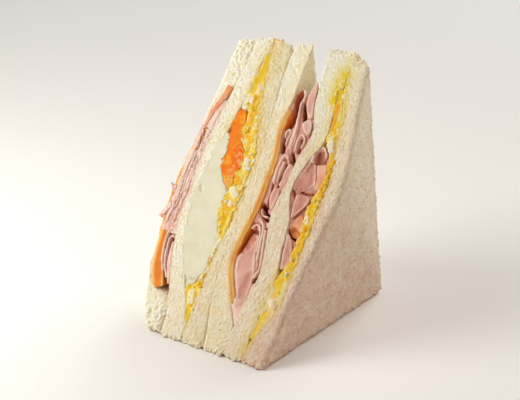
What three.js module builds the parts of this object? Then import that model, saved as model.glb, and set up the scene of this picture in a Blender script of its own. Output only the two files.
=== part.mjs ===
// Ham, cheese and egg sandwich: two triangular halves pressed together and stood on one edge, with
// the cut faces up front. Six crustless slices, numbered from the left as the cut is faced, with the
// fillings between them: cheese and folded ham, boiled egg, cheese and folded ham, ham and egg.
// Millimetres, +Z up. The origin is at the middle of the underside's box; the front is -Y.
//
// A point of the food is given by three numbers:
//   x      across the stack, from the middle of the bottom edge,
//   u      up the sloping cut, from the front bottom edge,
//   depth  straight in from the cut.
import * as THREE from 'three';

// ---- driving sizes ----
const BASE_RUN = 97; // bottom edge, from the front tip to the back corner
const TIP_HEIGHT = 110; // back edge, from the back corner to the top tip
const GAP = 0.3; // clearance between pieces that touch
const CENTRE_X = 8; // moves the box of the leaning stack over the origin
const CENTRE_Y = -1.8;

const CUT_LENGTH = Math.hypot(BASE_RUN, TIP_HEIGHT);
// The right-angled back corner, seen from the cut: how far up it, and how far in.
const CORNER_U = BASE_RUN ** 2 / CUT_LENGTH;
const CORNER_DEPTH = (BASE_RUN * TIP_HEIGHT) / CUT_LENGTH;

// ---- bread ----
const TIP_BLUNT = 3.5; // length over which the two thin tips are rounded off
const INNER_EDGE = 0.9; // rounding of a slice's edge beside a filling
const OUTER_EDGE = 2.6; // rounding of the edge round the two outer faces
const CRUMB_RELIEF = 0.35; // unevenness of the cut crumb
const RELIEF_MARGIN = 5; // width over which it fades towards the crustless edges
const SET_BACK_RANGE = [28, 122]; // part of the cut in which a slice can lie behind the others
const BREAD_ROWS = 34; // rows of facets up the cut
const HALFWAY = 0.5;
const BREAD_DEPTHS = [0, 0.012, 0.04, HALFWAY, 0.985]; // columns inwards, as shares of the way to the corner
const BREAD_ACROSS = 2;

// Each face of a slice is stated where it meets the cut, at twelve even steps from the bottom tip to
// the top tip. `foot` and `tips` say where up the cut the slice starts and ends (left and right side),
// and `set_back` how far its squeezed middle lies behind the others.
const SLICES = [
  {
    name: 'bread_slice_1',
    left: [-32, -39, -43.5, -46.4, -48.4, -49.4, -50, -50.3, -50, -49.3, -49.2, -49.2],
    right: [-25.2, -29.5, -42, -44, -45.7, -46.8, -47.6, -48, -46.2, -43, -40.1, -40.6],
    foot: 1.4, tips: [144.2, 144.6], set_back: 2.4,
  },
  {
    name: 'bread_slice_2',
    left: [-24.9, -26.2, -31, -35.7, -39, -39.8, -40.6, -41.3, -41, -40.2, -39.8, -40.3],
    right: [-13.3, -15.6, -22.5, -29.9, -34, -36.3, -36, -34.6, -33.3, -32, -32.1, -30.5],
    foot: 0, tips: [146.6, 148.4], set_back: 0,
  },
  {
    name: 'bread_slice_3',
    left: [-13, -13.4, -14.1, -14.9, -14.3, -14.2, -15, -16, -22, -25.6, -28.3, -30.2],
    right: [-1.2, -4.2, -7.2, -9.4, -10.3, -10.6, -11.4, -13.2, -15.2, -17.2, -18.8, -20],
    foot: 0, tips: [148.4, 146.8], set_back: 0.4,
  },
  {
    name: 'bread_slice_4',
    left: [-0.9, -3.9, -6.9, -9.1, -10, -10.3, -11.1, -12.9, -14.9, -16.9, -18.5, -19.7],
    right: [9.6, 9.3, 2, -5, -6, -4.8, -5.4, -6.3, -9.6, -8.8, -9.7, -10],
    foot: 0, tips: [148.2, 149.2], set_back: 0,
  },
  {
    name: 'bread_slice_5',
    left: [9.9, 9.6, 9.7, 11, 8.1, 4.6, 5, 5.6, 7.6, 3.3, 0.8, -1.2],
    right: [18.6, 18.8, 19.3, 19.5, 16.5, 14.2, 9, 10.6, 15, 13.3, 10.7, 11.9],
    foot: 0, tips: [149.8, 150.2], set_back: 0,
  },
  {
    name: 'bread_slice_6',
    left: [19, 20.6, 25.3, 25.6, 25.7, 25, 24.6, 24, 20.6, 17.5, 13.4, 12.3],
    right: [31.2, 31.2, 31, 31.1, 31.5, 32, 32.8, 31.9, 29.3, 26.2, 23.1, 21],
    foot: 0, tips: [149.6, 146.2], set_back: 0.3,
  },
];
const LAST_STATION = SLICES[0].left.length - 1;

// ---- fillings ----
const CHEESE_THICKNESS = 2.1;
const SHEET_THICKNESS = 0.85; // one slice of ham
const THROUGH = 50; // depth to which a filling that runs through the food reaches
const FOLD_REACH = 26; // depth to which a small fold reaches
const EDGE_ROUND = 0.35; // rounding of a filling's cut edge
const MOST_ROUNDED = 0.3; // largest share of a filling's width that the rounding takes off a side
const THINNED = 0.6; // share of a ham slice's thickness left at its cut edge and at its ends
const FACE_BAND = 2.5; // depth of the first column behind a filling's face

const smooth = (t) => t * t * (3 - 2 * t);

/** A smooth rise to 1 and fall between two distances up the cut, and 0 outside them. */
function hump(u, [from, to]) {
  if (u <= from || u >= to) return 0;
  return Math.sin((Math.PI * (u - from)) / (to - from)) ** 2;
}

/** Value of a profile stated at even steps, at the distance u up the cut (smooth between the steps). */
function along(profile, u) {
  const place = THREE.MathUtils.clamp((u / CUT_LENGTH) * LAST_STATION, 0, LAST_STATION);
  const i = Math.min(Math.floor(place), LAST_STATION - 1);
  const at = (k) => profile[THREE.MathUtils.clamp(k, 0, LAST_STATION)];
  const t = place - i;
  const rise = at(i + 1) - at(i);
  const enter = (at(i + 1) - at(i - 1)) / 2;
  const leave = (at(i + 2) - at(i)) / 2;
  return at(i) + t * enter + t * t * (3 * rise - 2 * enter - leave) + t * t * t * (enter + leave - 2 * rise);
}

/** Height above the underside. */
const heightAt = (u, depth) => (u * TIP_HEIGHT - depth * BASE_RUN) / CUT_LENGTH;

/** The point of the model at x, u and depth. */
function pointAt(x, u, depth) {
  const y = (u * BASE_RUN + depth * TIP_HEIGHT) / CUT_LENGTH - BASE_RUN / 2;
  return [x + CENTRE_X, y + CENTRE_Y, heightAt(u, depth)];
}

/** How much of the swelling is left a share of the way in: 1 - share squared, straight between columns. */
function swellLeft(share) {
  const last = BREAD_DEPTHS.length - 1;
  const end = THREE.MathUtils.clamp(BREAD_DEPTHS.findIndex((column) => column >= share), 1, last);
  const [from, to] = [BREAD_DEPTHS[end - 1], BREAD_DEPTHS[end]];
  return THREE.MathUtils.lerp(1 - from ** 2, 1 - to ** 2, Math.max((share - from) / (to - from), 0));
}

/**
 * x of a slice's face on the line that runs from u on the cut to the back corner, a share of the way
 * in. The stack is pinched straight along its two crustless edges, and swells towards the cut.
 */
function faceX(profile, u, share) {
  const pinched = (height) => {
    const t = height / TIP_HEIGHT;
    return profile[0] + (profile[LAST_STATION] - profile[0]) * t;
  };
  const inner = u + (CORNER_U - u) * share;
  const swell = along(profile, u) - pinched(heightAt(u, 0));
  return pinched(heightAt(inner, CORNER_DEPTH * share)) + swell * swellLeft(share);
}

/** The two faces of a slice; its right face always stays clear of the next slice. */
function sliceFaces(number, u, share) {
  const left = faceX(SLICES[number].left, u, share);
  let right = faceX(SLICES[number].right, u, share);
  if (number + 1 < SLICES.length) {
    right = Math.min(right, faceX(SLICES[number + 1].left, u, share) - GAP);
  }
  return [left, right];
}

/**
 * A closed body on a lattice with the topology of a box: a runs up, b inwards and c to the right.
 * spot(a, b, c) gives the place of each lattice point on the outside.
 */
function shell(countA, countB, countC, spot) {
  const positions = [];
  const triangles = [];
  const numbers = new Map();
  const vertex = (a, b, c) => {
    const key = `${a},${b},${c}`;
    if (!numbers.has(key)) {
      numbers.set(key, positions.length / 3);
      positions.push(...spot(a, b, c));
    }
    return numbers.get(key);
  };
  const quad = (p, q, r, s) => triangles.push(p, q, r, p, r, s);
  const face = (countP, countQ, at) => {
    for (let p = 0; p < countP; p += 1) {
      for (let q = 0; q < countQ; q += 1) {
        quad(at(p, q), at(p + 1, q), at(p + 1, q + 1), at(p, q + 1));
      }
    }
  };
  face(countA, countB, (a, b) => vertex(a, b, 0));
  face(countB, countA, (b, a) => vertex(a, b, countC));
  face(countC, countA, (c, a) => vertex(a, 0, c));
  face(countA, countC, (a, c) => vertex(a, countB, c));
  face(countB, countC, (b, c) => vertex(0, b, c));
  face(countC, countB, (c, b) => vertex(countA, b, c));
  const geometry = new THREE.BufferGeometry();
  geometry.setAttribute('position', new THREE.Float32BufferAttribute(positions, 3));
  geometry.setIndex(triangles);
  geometry.computeVertexNormals();
  return geometry;
}

/** How far a rounded edge pulls a face in, at the distance d from the edge. */
function pulledIn(d, radius) {
  if (d >= radius) return 0;
  return radius - Math.sqrt(radius ** 2 - (radius - Math.max(d, 0)) ** 2);
}

/** Distance of (u, depth) from the line that runs from `start` on the cut to the back corner. */
function distanceToEdge(u, depth, start) {
  const run = CORNER_U - start;
  return Math.abs(run * depth - CORNER_DEPTH * (u - start)) / Math.hypot(run, CORNER_DEPTH);
}

/** Outline of a slice along the cut, with both tips blunted: row 0 is the foot, the last the tip. */
function cutOutline(row, foot, tip) {
  const corner = 3;
  const blunt = (end, direction, t) => {
    const run = CORNER_U - end;
    const reach = Math.hypot(run, CORNER_DEPTH);
    const onEdge = (1 - t) ** 2 * TIP_BLUNT;
    return [end + (onEdge * run) / reach + t * t * TIP_BLUNT * direction, (onEdge * CORNER_DEPTH) / reach];
  };
  if (row < corner) return blunt(foot, 1, row / corner);
  if (row > BREAD_ROWS - corner) return blunt(tip, -1, (BREAD_ROWS - row) / corner);
  const t = (row - corner) / (BREAD_ROWS - 2 * corner);
  return [foot + TIP_BLUNT + t * (tip - foot - 2 * TIP_BLUNT), 0];
}

/** Unevenness of the cut crumb, the same for the same place. */
const crumb = (u, c, number) =>
  CRUMB_RELIEF * (Math.sin(u * 0.83 + number * 2.1 + c * 1.7) + Math.sin(u * 0.31 - number * 1.3 + c * 2.9));

function breadSlice(number) {
  const slice = SLICES[number];
  const leftEdge = number === 0 ? OUTER_EDGE : INNER_EDGE;
  const rightEdge = number === SLICES.length - 1 ? OUTER_EDGE : INNER_EDGE;
  return shell(BREAD_ROWS, BREAD_DEPTHS.length - 1, BREAD_ACROSS, (a, b, c) => {
    const share = BREAD_DEPTHS[b];
    const side = c / BREAD_ACROSS;
    const tip = slice.tips[0] + (slice.tips[1] - slice.tips[0]) * side;
    const [startU, startDepth] = cutOutline(a, slice.foot, tip);
    const u = startU + (CORNER_U - startU) * share;
    let depth = startDepth + (CORNER_DEPTH - startDepth) * share;
    const fromCut = depth;
    const fromFoot = distanceToEdge(u, depth, slice.foot);
    const fromBack = distanceToEdge(u, depth, tip);
    const inset = (radius) =>
      Math.hypot(pulledIn(fromCut, radius), pulledIn(fromFoot, radius), pulledIn(fromBack, radius));
    const [left, right] = sliceFaces(number, startU, share);
    const x = left + inset(leftEdge) + (right - left - inset(leftEdge) - inset(rightEdge)) * side;
    if (b === 0) {
      const clearOfEdges = THREE.MathUtils.clamp(Math.min(fromFoot, fromBack) / RELIEF_MARGIN, 0, 1);
      depth += slice.set_back * hump(startU, SET_BACK_RANGE) + crumb(startU, c, number) * clearOfEdges;
    }
    return pointAt(x, u, depth);
  });
}

/** The space between two slices: number 0 lies between slices 1 and 2. */
function gapFaces(number, u, share) {
  return [sliceFaces(number, u, share)[1] + GAP, sliceFaces(number + 1, u, share)[0] - GAP];
}

/** A point of a filling: where it lies on the cut, carried inwards as the space round it narrows. */
function fillingPoint(gap, x, u, depth) {
  const share = depth / CORNER_DEPTH;
  const [cutLeft, cutRight] = gapFaces(gap, u, 0);
  const [left, right] = gapFaces(gap, u, share);
  const across = (x - cutLeft) / (cutRight - cutLeft);
  return pointAt(left + (right - left) * across, u + (CORNER_U - u) * share, depth);
}

/** Depths of a filling's columns, from its face to its reach, with one where the slices' faces turn. */
function columnsInwards(face, reach) {
  const turn = HALFWAY * CORNER_DEPTH;
  return reach > turn ? [face, face + FACE_BAND, turn, reach] : [face, face + FACE_BAND, reach];
}

/** Curve on the cut through the [x, u] points of a list. */
function curveThrough(points) {
  const curve = new THREE.SplineCurve(points.map(([x, u]) => new THREE.Vector2(x, u)));
  return (t) => curve.getPoint(t);
}

/** [x, u] points at a clearance beside the left (-1) or right (+1) slice of a gap. */
function beside(gap, side, clearance, heights) {
  return heights.map((u) => {
    const [left, right] = gapFaces(gap, u, 0);
    return [side < 0 ? left + clearance : right - clearance, u];
  });
}

/**
 * A filling between two rails on the cut, each a list of [x, u] points from the bottom up.
 * `front` is how far its face lies behind the cut, and `hollow` an [x, u, radius, depth] dent in it.
 */
function pad({ gap, left, right, rows, columns = 1, reach = FOLD_REACH, front = 0, hollow = null }) {
  const leftRail = curveThrough(left);
  const rightRail = curveThrough(right);
  return shell(rows, columnsInwards(front, reach).length - 1, columns, (a, b, c) => {
    const t = a / rows;
    const from = leftRail(t);
    const to = rightRail(t);
    const side = c / columns;
    const ends = Math.min(a, rows - a) === 0 ? EDGE_ROUND : 0;
    const width = from.distanceTo(to);
    const inset = Math.min(b === 0 ? EDGE_ROUND + ends : 0, width * MOST_ROUNDED) / width;
    const place = from.clone().lerp(to, inset + (1 - 2 * inset) * side);
    let face = front + (b === 0 ? ends : 0);
    if (hollow) {
      const away = Math.hypot(place.x - hollow[0], place.y - hollow[1]) / hollow[2];
      face += hollow[3] * smooth(Math.max(0, 1 - away));
    }
    return fillingPoint(gap, place.x, place.y, columnsInwards(face, reach)[b]);
  });
}

/** A slice of ham seen edge on: a ribbon of even thickness along a folded path on the cut. */
function fold({ gap, path, rows, thickness = SHEET_THICKNESS, reach = FOLD_REACH, front = 0 }) {
  const centre = curveThrough(path);
  const depths = columnsInwards(front, reach);
  return shell(rows, depths.length - 1, 1, (a, b, c) => {
    const t = a / rows;
    const heading = centre(Math.min(t + 0.01, 1)).sub(centre(Math.max(t - 0.01, 0))).normalize();
    const atEnd = a === 0 || a === rows ? THINNED : 1;
    const atCut = b === 0 ? THINNED : 1;
    const half = (thickness / 2) * atEnd * atCut * (c === 0 ? -1 : 1);
    const place = centre(t);
    return fillingPoint(gap, place.x + heading.y * half, place.y - heading.x * half, depths[b]);
  });
}

// ---- the spaces between the slices ----
const LEFT_GAP = 0;
const EGG_GAP = 1;
const MIDDLE_GAP = 3;
const RIGHT_GAP = 4;

/** Cheese and ham between slices 1 and 2. */
function leftFilling() {
  const gap = LEFT_GAP;
  return {
    cheese_left: pad({
      gap, rows: 22, reach: THROUGH, front: 0.6,
      left: [[-37.2, 21.6], [-41.1, 27], [-43.2, 38], [-43.7, 50], [-44.1, 64], [-45.4, 76], [-45.4, 88],
        [-46, 98], [-45.3, 107], [-42.9, 118]],
      right: [[-35.4, 21.6], [-39.3, 27], [-41.9, 38], [-42.4, 50], [-42.4, 64], [-43.7, 76], [-43.6, 88],
        [-44.1, 98], [-43.3, 107], [-41.2, 118]],
    }),
    ham_left_1: pad({
      gap, rows: 12, reach: 40, front: -0.4,
      left: [[-45, 50.5], [-46, 64], [-46.8, 76], [-47.2, 88], [-46.9, 96]],
      right: [[-44.2, 50.5], [-44.7, 64], [-45.9, 76], [-45.9, 88], [-46.4, 96]],
    }),
    ham_left_2: pad({
      gap, rows: 14, reach: THROUGH, front: -0.2,
      left: [[-41.9, 51.5], [-41.9, 64], [-43.2, 76], [-43.1, 88], [-43.6, 98], [-42.7, 107]],
      right: [[-41.1, 51.5], [-41.2, 64], [-42.2, 76], [-42.4, 88], [-42.8, 98], [-42.1, 107]],
    }),
    ham_left_3: pad({
      gap, rows: 16, reach: THROUGH, front: 0.5,
      left: [[-40.6, 50.5], [-40.9, 64], [-41.9, 76], [-42.1, 88], [-42.5, 98], [-42, 107], [-41.6, 113]],
      right: beside(gap, 1, 0.25, [50.5, 64, 76, 88, 98, 107, 113]),
    }),
    ham_left_4: fold({
      gap, rows: 14, thickness: 0.8, front: -0.3,
      path: [[-35.8, 28.6], [-38.4, 33], [-40.5, 39], [-41.4, 44.5], [-40.7, 48], [-39.6, 47.4]],
    }),
    ham_left_5: fold({
      gap, rows: 14, front: 0.2,
      path: [[-33, 26.2], [-36.4, 31.2], [-38.6, 37], [-39.6, 42.5], [-38.8, 45.3], [-37.9, 44.6]],
    }),
    ham_left_6: pad({
      gap, rows: 10, reach: THROUGH, front: 0.4,
      left: [[-31, 23.4], [-33.4, 28], [-35.9, 33.5], [-37.4, 39.5], [-37.8, 42.8]],
      right: beside(gap, 1, 0.25, [23.4, 28, 33.5, 39.5, 42.8]),
    }),
  };
}

/** Boiled egg between slices 2 and 3: a half white with its yolk, bedded in mashed egg. */
function eggFilling() {
  const gap = EGG_GAP;
  const whiteHeights = [29.5, 36, 44, 52, 60, 67, 71.5, 77, 83, 90, 98];
  const whiteRight = [-17.8, -16.6, -16.7, -17.9, -20.9, -22, -22.7, -27.5, -30.2, -31.1, -33];
  const mashLeft = [[-14.6, 10.5], [-16.9, 17.5], [-20.6, 25], [-17.1, 28], [-15.9, 33], [-15.9, 40],
    [-16, 46], [-17.2, 53], [-20.2, 60], [-21.3, 66], [-20.6, 71], [-20.3, 76], [-20.1, 83], [-20.6, 90],
    [-24.7, 97], [-26.4, 104], [-28.4, 111], [-31, 116], [-31.1, 124], [-31.2, 132], [-30.7, 139]];
  return {
    egg_white: pad({
      gap, rows: 20, columns: 3, reach: THROUGH, front: 0.3,
      left: beside(gap, -1, 0.15, whiteHeights),
      right: whiteHeights.map((u, i) => [whiteRight[i], u]),
    }),
    egg_yolk: pad({
      gap, rows: 14, columns: 3, reach: 34, front: 0.5,
      left: [[-21.8, 71.8], [-26.6, 77], [-29.5, 83], [-30.4, 90], [-32.1, 98], [-32.6, 104.5],
        [-31.6, 110.4]],
      right: [[-21.1, 71.8], [-21.5, 77], [-20.9, 83], [-21.4, 90], [-25.6, 97], [-27.2, 104],
        [-29.8, 110.4]],
    }),
    egg_mash_left: pad({
      gap, rows: 30, columns: 2, reach: 46, front: 0.2,
      left: mashLeft,
      right: beside(gap, 1, 0.15, mashLeft.map(([, u]) => u)),
    }),
  };
}

/** Cheese and the much folded ham between slices 4 and 5. */
function middleFilling() {
  const gap = MIDDLE_GAP;
  const cheeseHeights = [24.4, 31, 38, 45, 53, 62, 71, 80, 90, 98, 104, 110, 115.5];
  return {
    cheese_right: pad({
      gap, rows: 24, reach: THROUGH, front: 0.2,
      left: beside(gap, -1, 0.1, cheeseHeights),
      right: beside(gap, -1, 0.1 + CHEESE_THICKNESS, cheeseHeights),
    }),
    ham_middle_1: fold({
      gap, rows: 18, front: 0.2,
      path: [[-7.4, 119.5], [-6.9, 124.6], [-5.3, 126.3], [-3.8, 124.4], [-3.9, 119.6], [-2.9, 114.6],
        [-1.6, 110.3]],
    }),
    ham_middle_2: pad({
      gap, rows: 6, front: 0.6,
      left: [[-1.4, 96.4], [-2.1, 99], [-2.3, 104], [-1.9, 108.6]],
      right: [[0.8, 96.4], [0.5, 99], [0.3, 104], [-0.8, 108.6]],
    }),
    ham_middle_3: pad({
      gap, rows: 10, columns: 2, front: 0,
      left: [[3.1, 114], [0.6, 116.8], [-1.1, 121], [-1.7, 126], [-0.7, 131.2]],
      right: [[4.3, 114.4], [3.3, 117.6], [2.2, 121.6], [1, 126.4], [0, 131.4]],
    }),
    ham_middle_4: pad({
      gap, rows: 8, columns: 2, reach: 14, front: -1,
      left: [[5.7, 105.4], [3.3, 107.8], [1.7, 109.8], [2.9, 111.9], [4.3, 112.7]],
      right: [[6.5, 105.8], [6.8, 107.6], [6.5, 109.6], [5.6, 111.4], [4.8, 112.5]],
    }),
    ham_middle_5: fold({
      gap, rows: 14,
      path: [[3, 97.6], [2.1, 101], [1.8, 104.2], [3, 106], [4.5, 105.2], [5.3, 102.6], [5, 100]],
    }),
    ham_middle_6: fold({
      gap, rows: 12, thickness: 0.75, front: 0.4,
      path: [[-5.3, 103.5], [-5.6, 106.1], [-4.6, 107.3], [-3.6, 106.1], [-3.4, 102.5], [-2.9, 99.4]],
    }),
    ham_middle_7: fold({
      gap, rows: 14, thickness: 1.2, front: -0.5,
      path: [[-0.7, 81], [-1.4, 85], [-1.7, 89.6], [-1.3, 93.3], [0.2, 94.6], [1.5, 93.2]],
    }),
    ham_middle_8: pad({
      gap, rows: 7, columns: 2, front: 0.8,
      left: [[1.8, 81], [1.7, 85], [1.7, 89], [2.4, 92]],
      right: [[3.8, 81], [4.3, 85], [4.6, 89], [3.9, 92.4]],
    }),
    ham_middle_9: pad({
      gap, rows: 6, columns: 2, front: 0.2,
      left: [[2.2, 69.8], [0.8, 73], [0.2, 76.4], [0.6, 79.4]],
      right: [[3.4, 69.6], [3.7, 73], [3.8, 76.4], [3.2, 79.4]],
    }),
    ham_middle_10: fold({
      gap, rows: 8, front: 0.2,
      path: [[-1.1, 68.6], [-0.1, 66.5], [1.6, 65.6], [3.2, 65.8]],
    }),
    ham_middle_11: fold({
      gap, rows: 14, front: -0.2,
      path: [[-0.5, 64.2], [1.2, 63.2], [3.1, 61.2], [4.2, 58], [5, 54], [6.2, 49.5], [7, 45.4]],
    }),
    ham_middle_12: fold({
      gap, rows: 16, thickness: 0.9,
      path: [[4.9, 60], [5.9, 56], [7.1, 51.8], [8.7, 46.8], [9.7, 42.6], [9.3, 39.8], [8.7, 37.8]],
    }),
    ham_middle_13: fold({
      gap, rows: 14, thickness: 0.9, reach: 34,
      path: [[-1.9, 58.6], [-1.3, 60.3], [0.4, 60.9], [2.1, 59.6], [3.2, 57], [4, 53.4], [5.1, 49]],
    }),
    ham_middle_14: pad({
      gap, rows: 18, columns: 4, reach: THROUGH, front: 0.5, hollow: [-1.2, 53, 7.5, 9],
      left: [[7.9, 21], [5.4, 26.8], [0.9, 34.6], [-1.7, 41], [-2.4, 47], [-2.2, 53], [-1.2, 57.2]],
      right: [[8.8, 21.2], [8.9, 27.2], [8.5, 34.2], [7.3, 40.6], [5.7, 45], [3.6, 50.6], [1.9, 57]],
    }),
  };
}

/** Folded ham and mashed egg between slices 5 and 6. */
function rightFilling() {
  const gap = RIGHT_GAP;
  const mashLeft = [[19.6, 12], [19.8, 24], [20.1, 36], [20.6, 42.5], [22.7, 47.5], [22.8, 55], [22.4, 61],
    [21.9, 67], [21, 72.5], [21.3, 78], [23, 83.5], [23, 90], [22.4, 95], [20.6, 99.5], [17.2, 105],
    [15.7, 110], [14.4, 118], [12.6, 126], [11.6, 131]];
  return {
    egg_mash_right: pad({
      gap, rows: 26, columns: 2, reach: 44, front: 0.2,
      left: mashLeft,
      right: beside(gap, 1, 0.3, mashLeft.map(([, u]) => u)),
    }),
    ham_right_1: pad({
      gap, rows: 8, columns: 2, front: -0.4, hollow: [16.9, 97.6, 3.6, 5],
      left: [[12.5, 94.6], [13.2, 97.4], [14.4, 100.4], [15.4, 103]],
      right: [[14.4, 95.2], [18.4, 97.6], [18.9, 100.2], [16.4, 103]],
    }),
    ham_right_2: pad({
      gap, rows: 8, columns: 2, reach: THROUGH, front: 0.2,
      left: [[19.5, 83.4], [18.9, 88], [17.2, 92], [16.1, 94.4]],
      right: [[22.3, 83.6], [22.3, 89], [21.7, 93.2], [20.2, 95.8]],
    }),
    ham_right_3: pad({
      gap, rows: 8, columns: 3, reach: THROUGH, front: 0.6, hollow: [12.4, 88.5, 5, 3],
      left: [[9.6, 81], [10, 84.4], [10.9, 88.6], [12, 92.6]],
      right: [[13.8, 81.2], [17.8, 84.4], [17.8, 87.8], [14, 92.8]],
    }),
    ham_right_4: pad({
      gap, rows: 8, columns: 3, front: -0.5,
      left: [[14.5, 68.2], [13.9, 71.4], [13.1, 75], [12.9, 79.2]],
      right: [[15.3, 68.4], [17.2, 71.8], [19.2, 75.4], [19.7, 79]],
    }),
    ham_right_5: pad({
      gap, rows: 8, columns: 3, reach: THROUGH, front: 0.3, hollow: [19, 61.6, 4.5, 2.5],
      left: [[18.9, 60.2], [16.3, 62.8], [16.2, 66.2], [18.4, 71]],
      right: [[20.4, 60.2], [21.4, 63.2], [20.9, 67], [19.4, 71.2]],
    }),
    ham_right_6: pad({
      gap, rows: 10, columns: 3, reach: THROUGH, front: 0.4,
      left: [[20, 45.2], [17.9, 51], [16.5, 57], [15.8, 61]],
      right: [[21.2, 45.4], [22, 50.6], [20.2, 56.4], [16.8, 60.8]],
    }),
  };
}

// ---- the group ----
const BREAD = new THREE.MeshStandardMaterial({ color: 0xefe4c4, roughness: 0.9, metalness: 0 });
const HAM = new THREE.MeshStandardMaterial({ color: 0xdc9c8c, roughness: 0.45, metalness: 0 });
const CHEESE = new THREE.MeshStandardMaterial({ color: 0xf2a23c, roughness: 0.5, metalness: 0 });
const EGG_WHITE = new THREE.MeshStandardMaterial({ color: 0xe6e6cc, roughness: 0.35, metalness: 0 });
const EGG_YOLK = new THREE.MeshStandardMaterial({ color: 0xf28a1c, roughness: 0.7, metalness: 0 });
const EGG_MASH = new THREE.MeshStandardMaterial({ color: 0xf3cd62, roughness: 0.75, metalness: 0 });

const group = new THREE.Group();

function addPiece(name, geometry, material) {
  const mesh = new THREE.Mesh(geometry, material);
  mesh.name = name;
  group.add(mesh);
}

function fillingMaterial(name) {
  if (name.startsWith('cheese')) return CHEESE;
  if (name === 'egg_white') return EGG_WHITE;
  if (name === 'egg_yolk') return EGG_YOLK;
  return name.startsWith('egg_mash') ? EGG_MASH : HAM;
}

SLICES.forEach((slice, number) => addPiece(slice.name, breadSlice(number), BREAD));
for (const filling of [leftFilling(), eggFilling(), middleFilling(), rightFilling()]) {
  Object.entries(filling).forEach(([name, geometry]) => addPiece(name, geometry, fillingMaterial(name)));
}

export default group;
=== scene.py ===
"""Ham and cheese sandwich with egg, cut corner to corner and standing on one crustless edge.

Lengths are millimetres until a mesh is made. A point of the food has three numbers: x across the
stack, u up the sloping cut from its bottom edge, and depth straight in from the cut.
"""
import logging
import math
from collections.abc import Callable
from dataclasses import dataclass, field
from enum import Enum

import bpy
import numpy as np
from bpy.types import Material, Node, NodeSocket, NodeTree
from mathutils import Matrix, Vector


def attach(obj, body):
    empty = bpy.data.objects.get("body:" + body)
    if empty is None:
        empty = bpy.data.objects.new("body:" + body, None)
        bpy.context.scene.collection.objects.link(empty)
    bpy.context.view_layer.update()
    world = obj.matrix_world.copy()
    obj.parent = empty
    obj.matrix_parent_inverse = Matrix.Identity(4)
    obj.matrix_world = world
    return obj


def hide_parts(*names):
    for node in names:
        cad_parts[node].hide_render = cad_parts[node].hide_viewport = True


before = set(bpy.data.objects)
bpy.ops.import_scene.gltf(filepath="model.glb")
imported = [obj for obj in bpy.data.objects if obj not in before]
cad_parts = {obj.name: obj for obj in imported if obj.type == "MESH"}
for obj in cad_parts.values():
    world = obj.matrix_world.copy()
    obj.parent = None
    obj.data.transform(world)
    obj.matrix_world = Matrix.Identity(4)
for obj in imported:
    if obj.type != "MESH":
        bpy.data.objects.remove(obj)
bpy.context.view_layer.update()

log = logging.getLogger("sandwich")

MM = 0.001
BODY = "root"
Path = tuple[tuple[float, float], ...]  # places on the cut, each an x and a u
Triple = tuple[np.ndarray, np.ndarray, np.ndarray]  # three numbers for each point
Size = float | tuple[float, float, float] | np.ndarray  # one size, or one for each axis


# ---- numbers and random patterns ----

def smooth(t: np.ndarray) -> np.ndarray:
    """Eases 0..1: three t squared minus two t cubed, with t held to 0..1."""
    t = np.clip(t, 0.0, 1.0)
    return t * t * (3 - 2 * t)


def window(value: np.ndarray, low: float, high: float, fade: float) -> np.ndarray:
    """1 between low and high, eased to 0 over the fade outside them."""
    return smooth((value - low) / fade + 1) * smooth((high - value) / fade + 1)


def pulled_in(distance: np.ndarray, radius: float | np.ndarray) -> np.ndarray:
    """How far a rounded edge pulls a face in: the radius minus the height of its quarter circle."""
    inside = np.clip(radius - np.clip(distance, 0, None), 0, None)
    return radius - np.sqrt(radius**2 - inside**2)


def spline(knots: np.ndarray, t: np.ndarray) -> np.ndarray:
    """Smooth curve through evenly spaced knots: a cubic between each two, whose slope at a knot is
    half the step from the knot before it to the knot after it.

    Args:
        knots: one number, or one row of numbers, for each knot.
        t: places along the curve, from 0 to 1.

    Returns:
        The value, or the row of values, at each place.
    """
    last = len(knots) - 1
    place = np.clip(t, 0.0, 1.0) * last
    i = np.minimum(place.astype(int), last - 1)
    s = place - i
    if knots.ndim == 2:
        s = s[..., None]
    before, start, end, after = (knots[np.clip(i + step, 0, last)] for step in (-1, 0, 1, 2))
    enter, leave = (end - before) / 2, (after - start) / 2
    return start + s * enter + s**2 * (3 * (end - start) - 2 * enter - leave) \
        + s**3 * (enter + leave - 2 * (end - start))


def random_at(cells: np.ndarray, seed: int) -> np.ndarray:
    """A random number from 0 to 1 for each whole-numbered cell, always the same for that cell.

    Args:
        cells: whole coordinates, three in the last axis.
        seed: picks one of many such patterns.

    Returns:
        One number for each cell, from a multiply-and-shift hash of its coordinates.
    """
    x, y, z = (cells[..., axis].astype(np.int64).astype(np.uint32) for axis in range(3))
    mixed_up = x * np.uint32(374761393) + y * np.uint32(668265263) + z * np.uint32(1440662683)
    mixed_up = mixed_up + np.uint32((seed * 974634777) & 0xFFFFFFFF)
    mixed_up = (mixed_up ^ (mixed_up >> np.uint32(13))) * np.uint32(1274126177)
    mixed_up = (mixed_up ^ (mixed_up >> np.uint32(15))) * np.uint32(2246822519)
    return (mixed_up ^ (mixed_up >> np.uint32(16))).astype(float) / 2**32


@dataclass(frozen=True)
class Cells:
    """What lies nearest in a cellular pattern: the distances to the nearest two random points, in
    cell sizes, and a random number from 0 to 1 that is the same all over a cell."""

    distance: np.ndarray
    second: np.ndarray
    mark: np.ndarray


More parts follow.
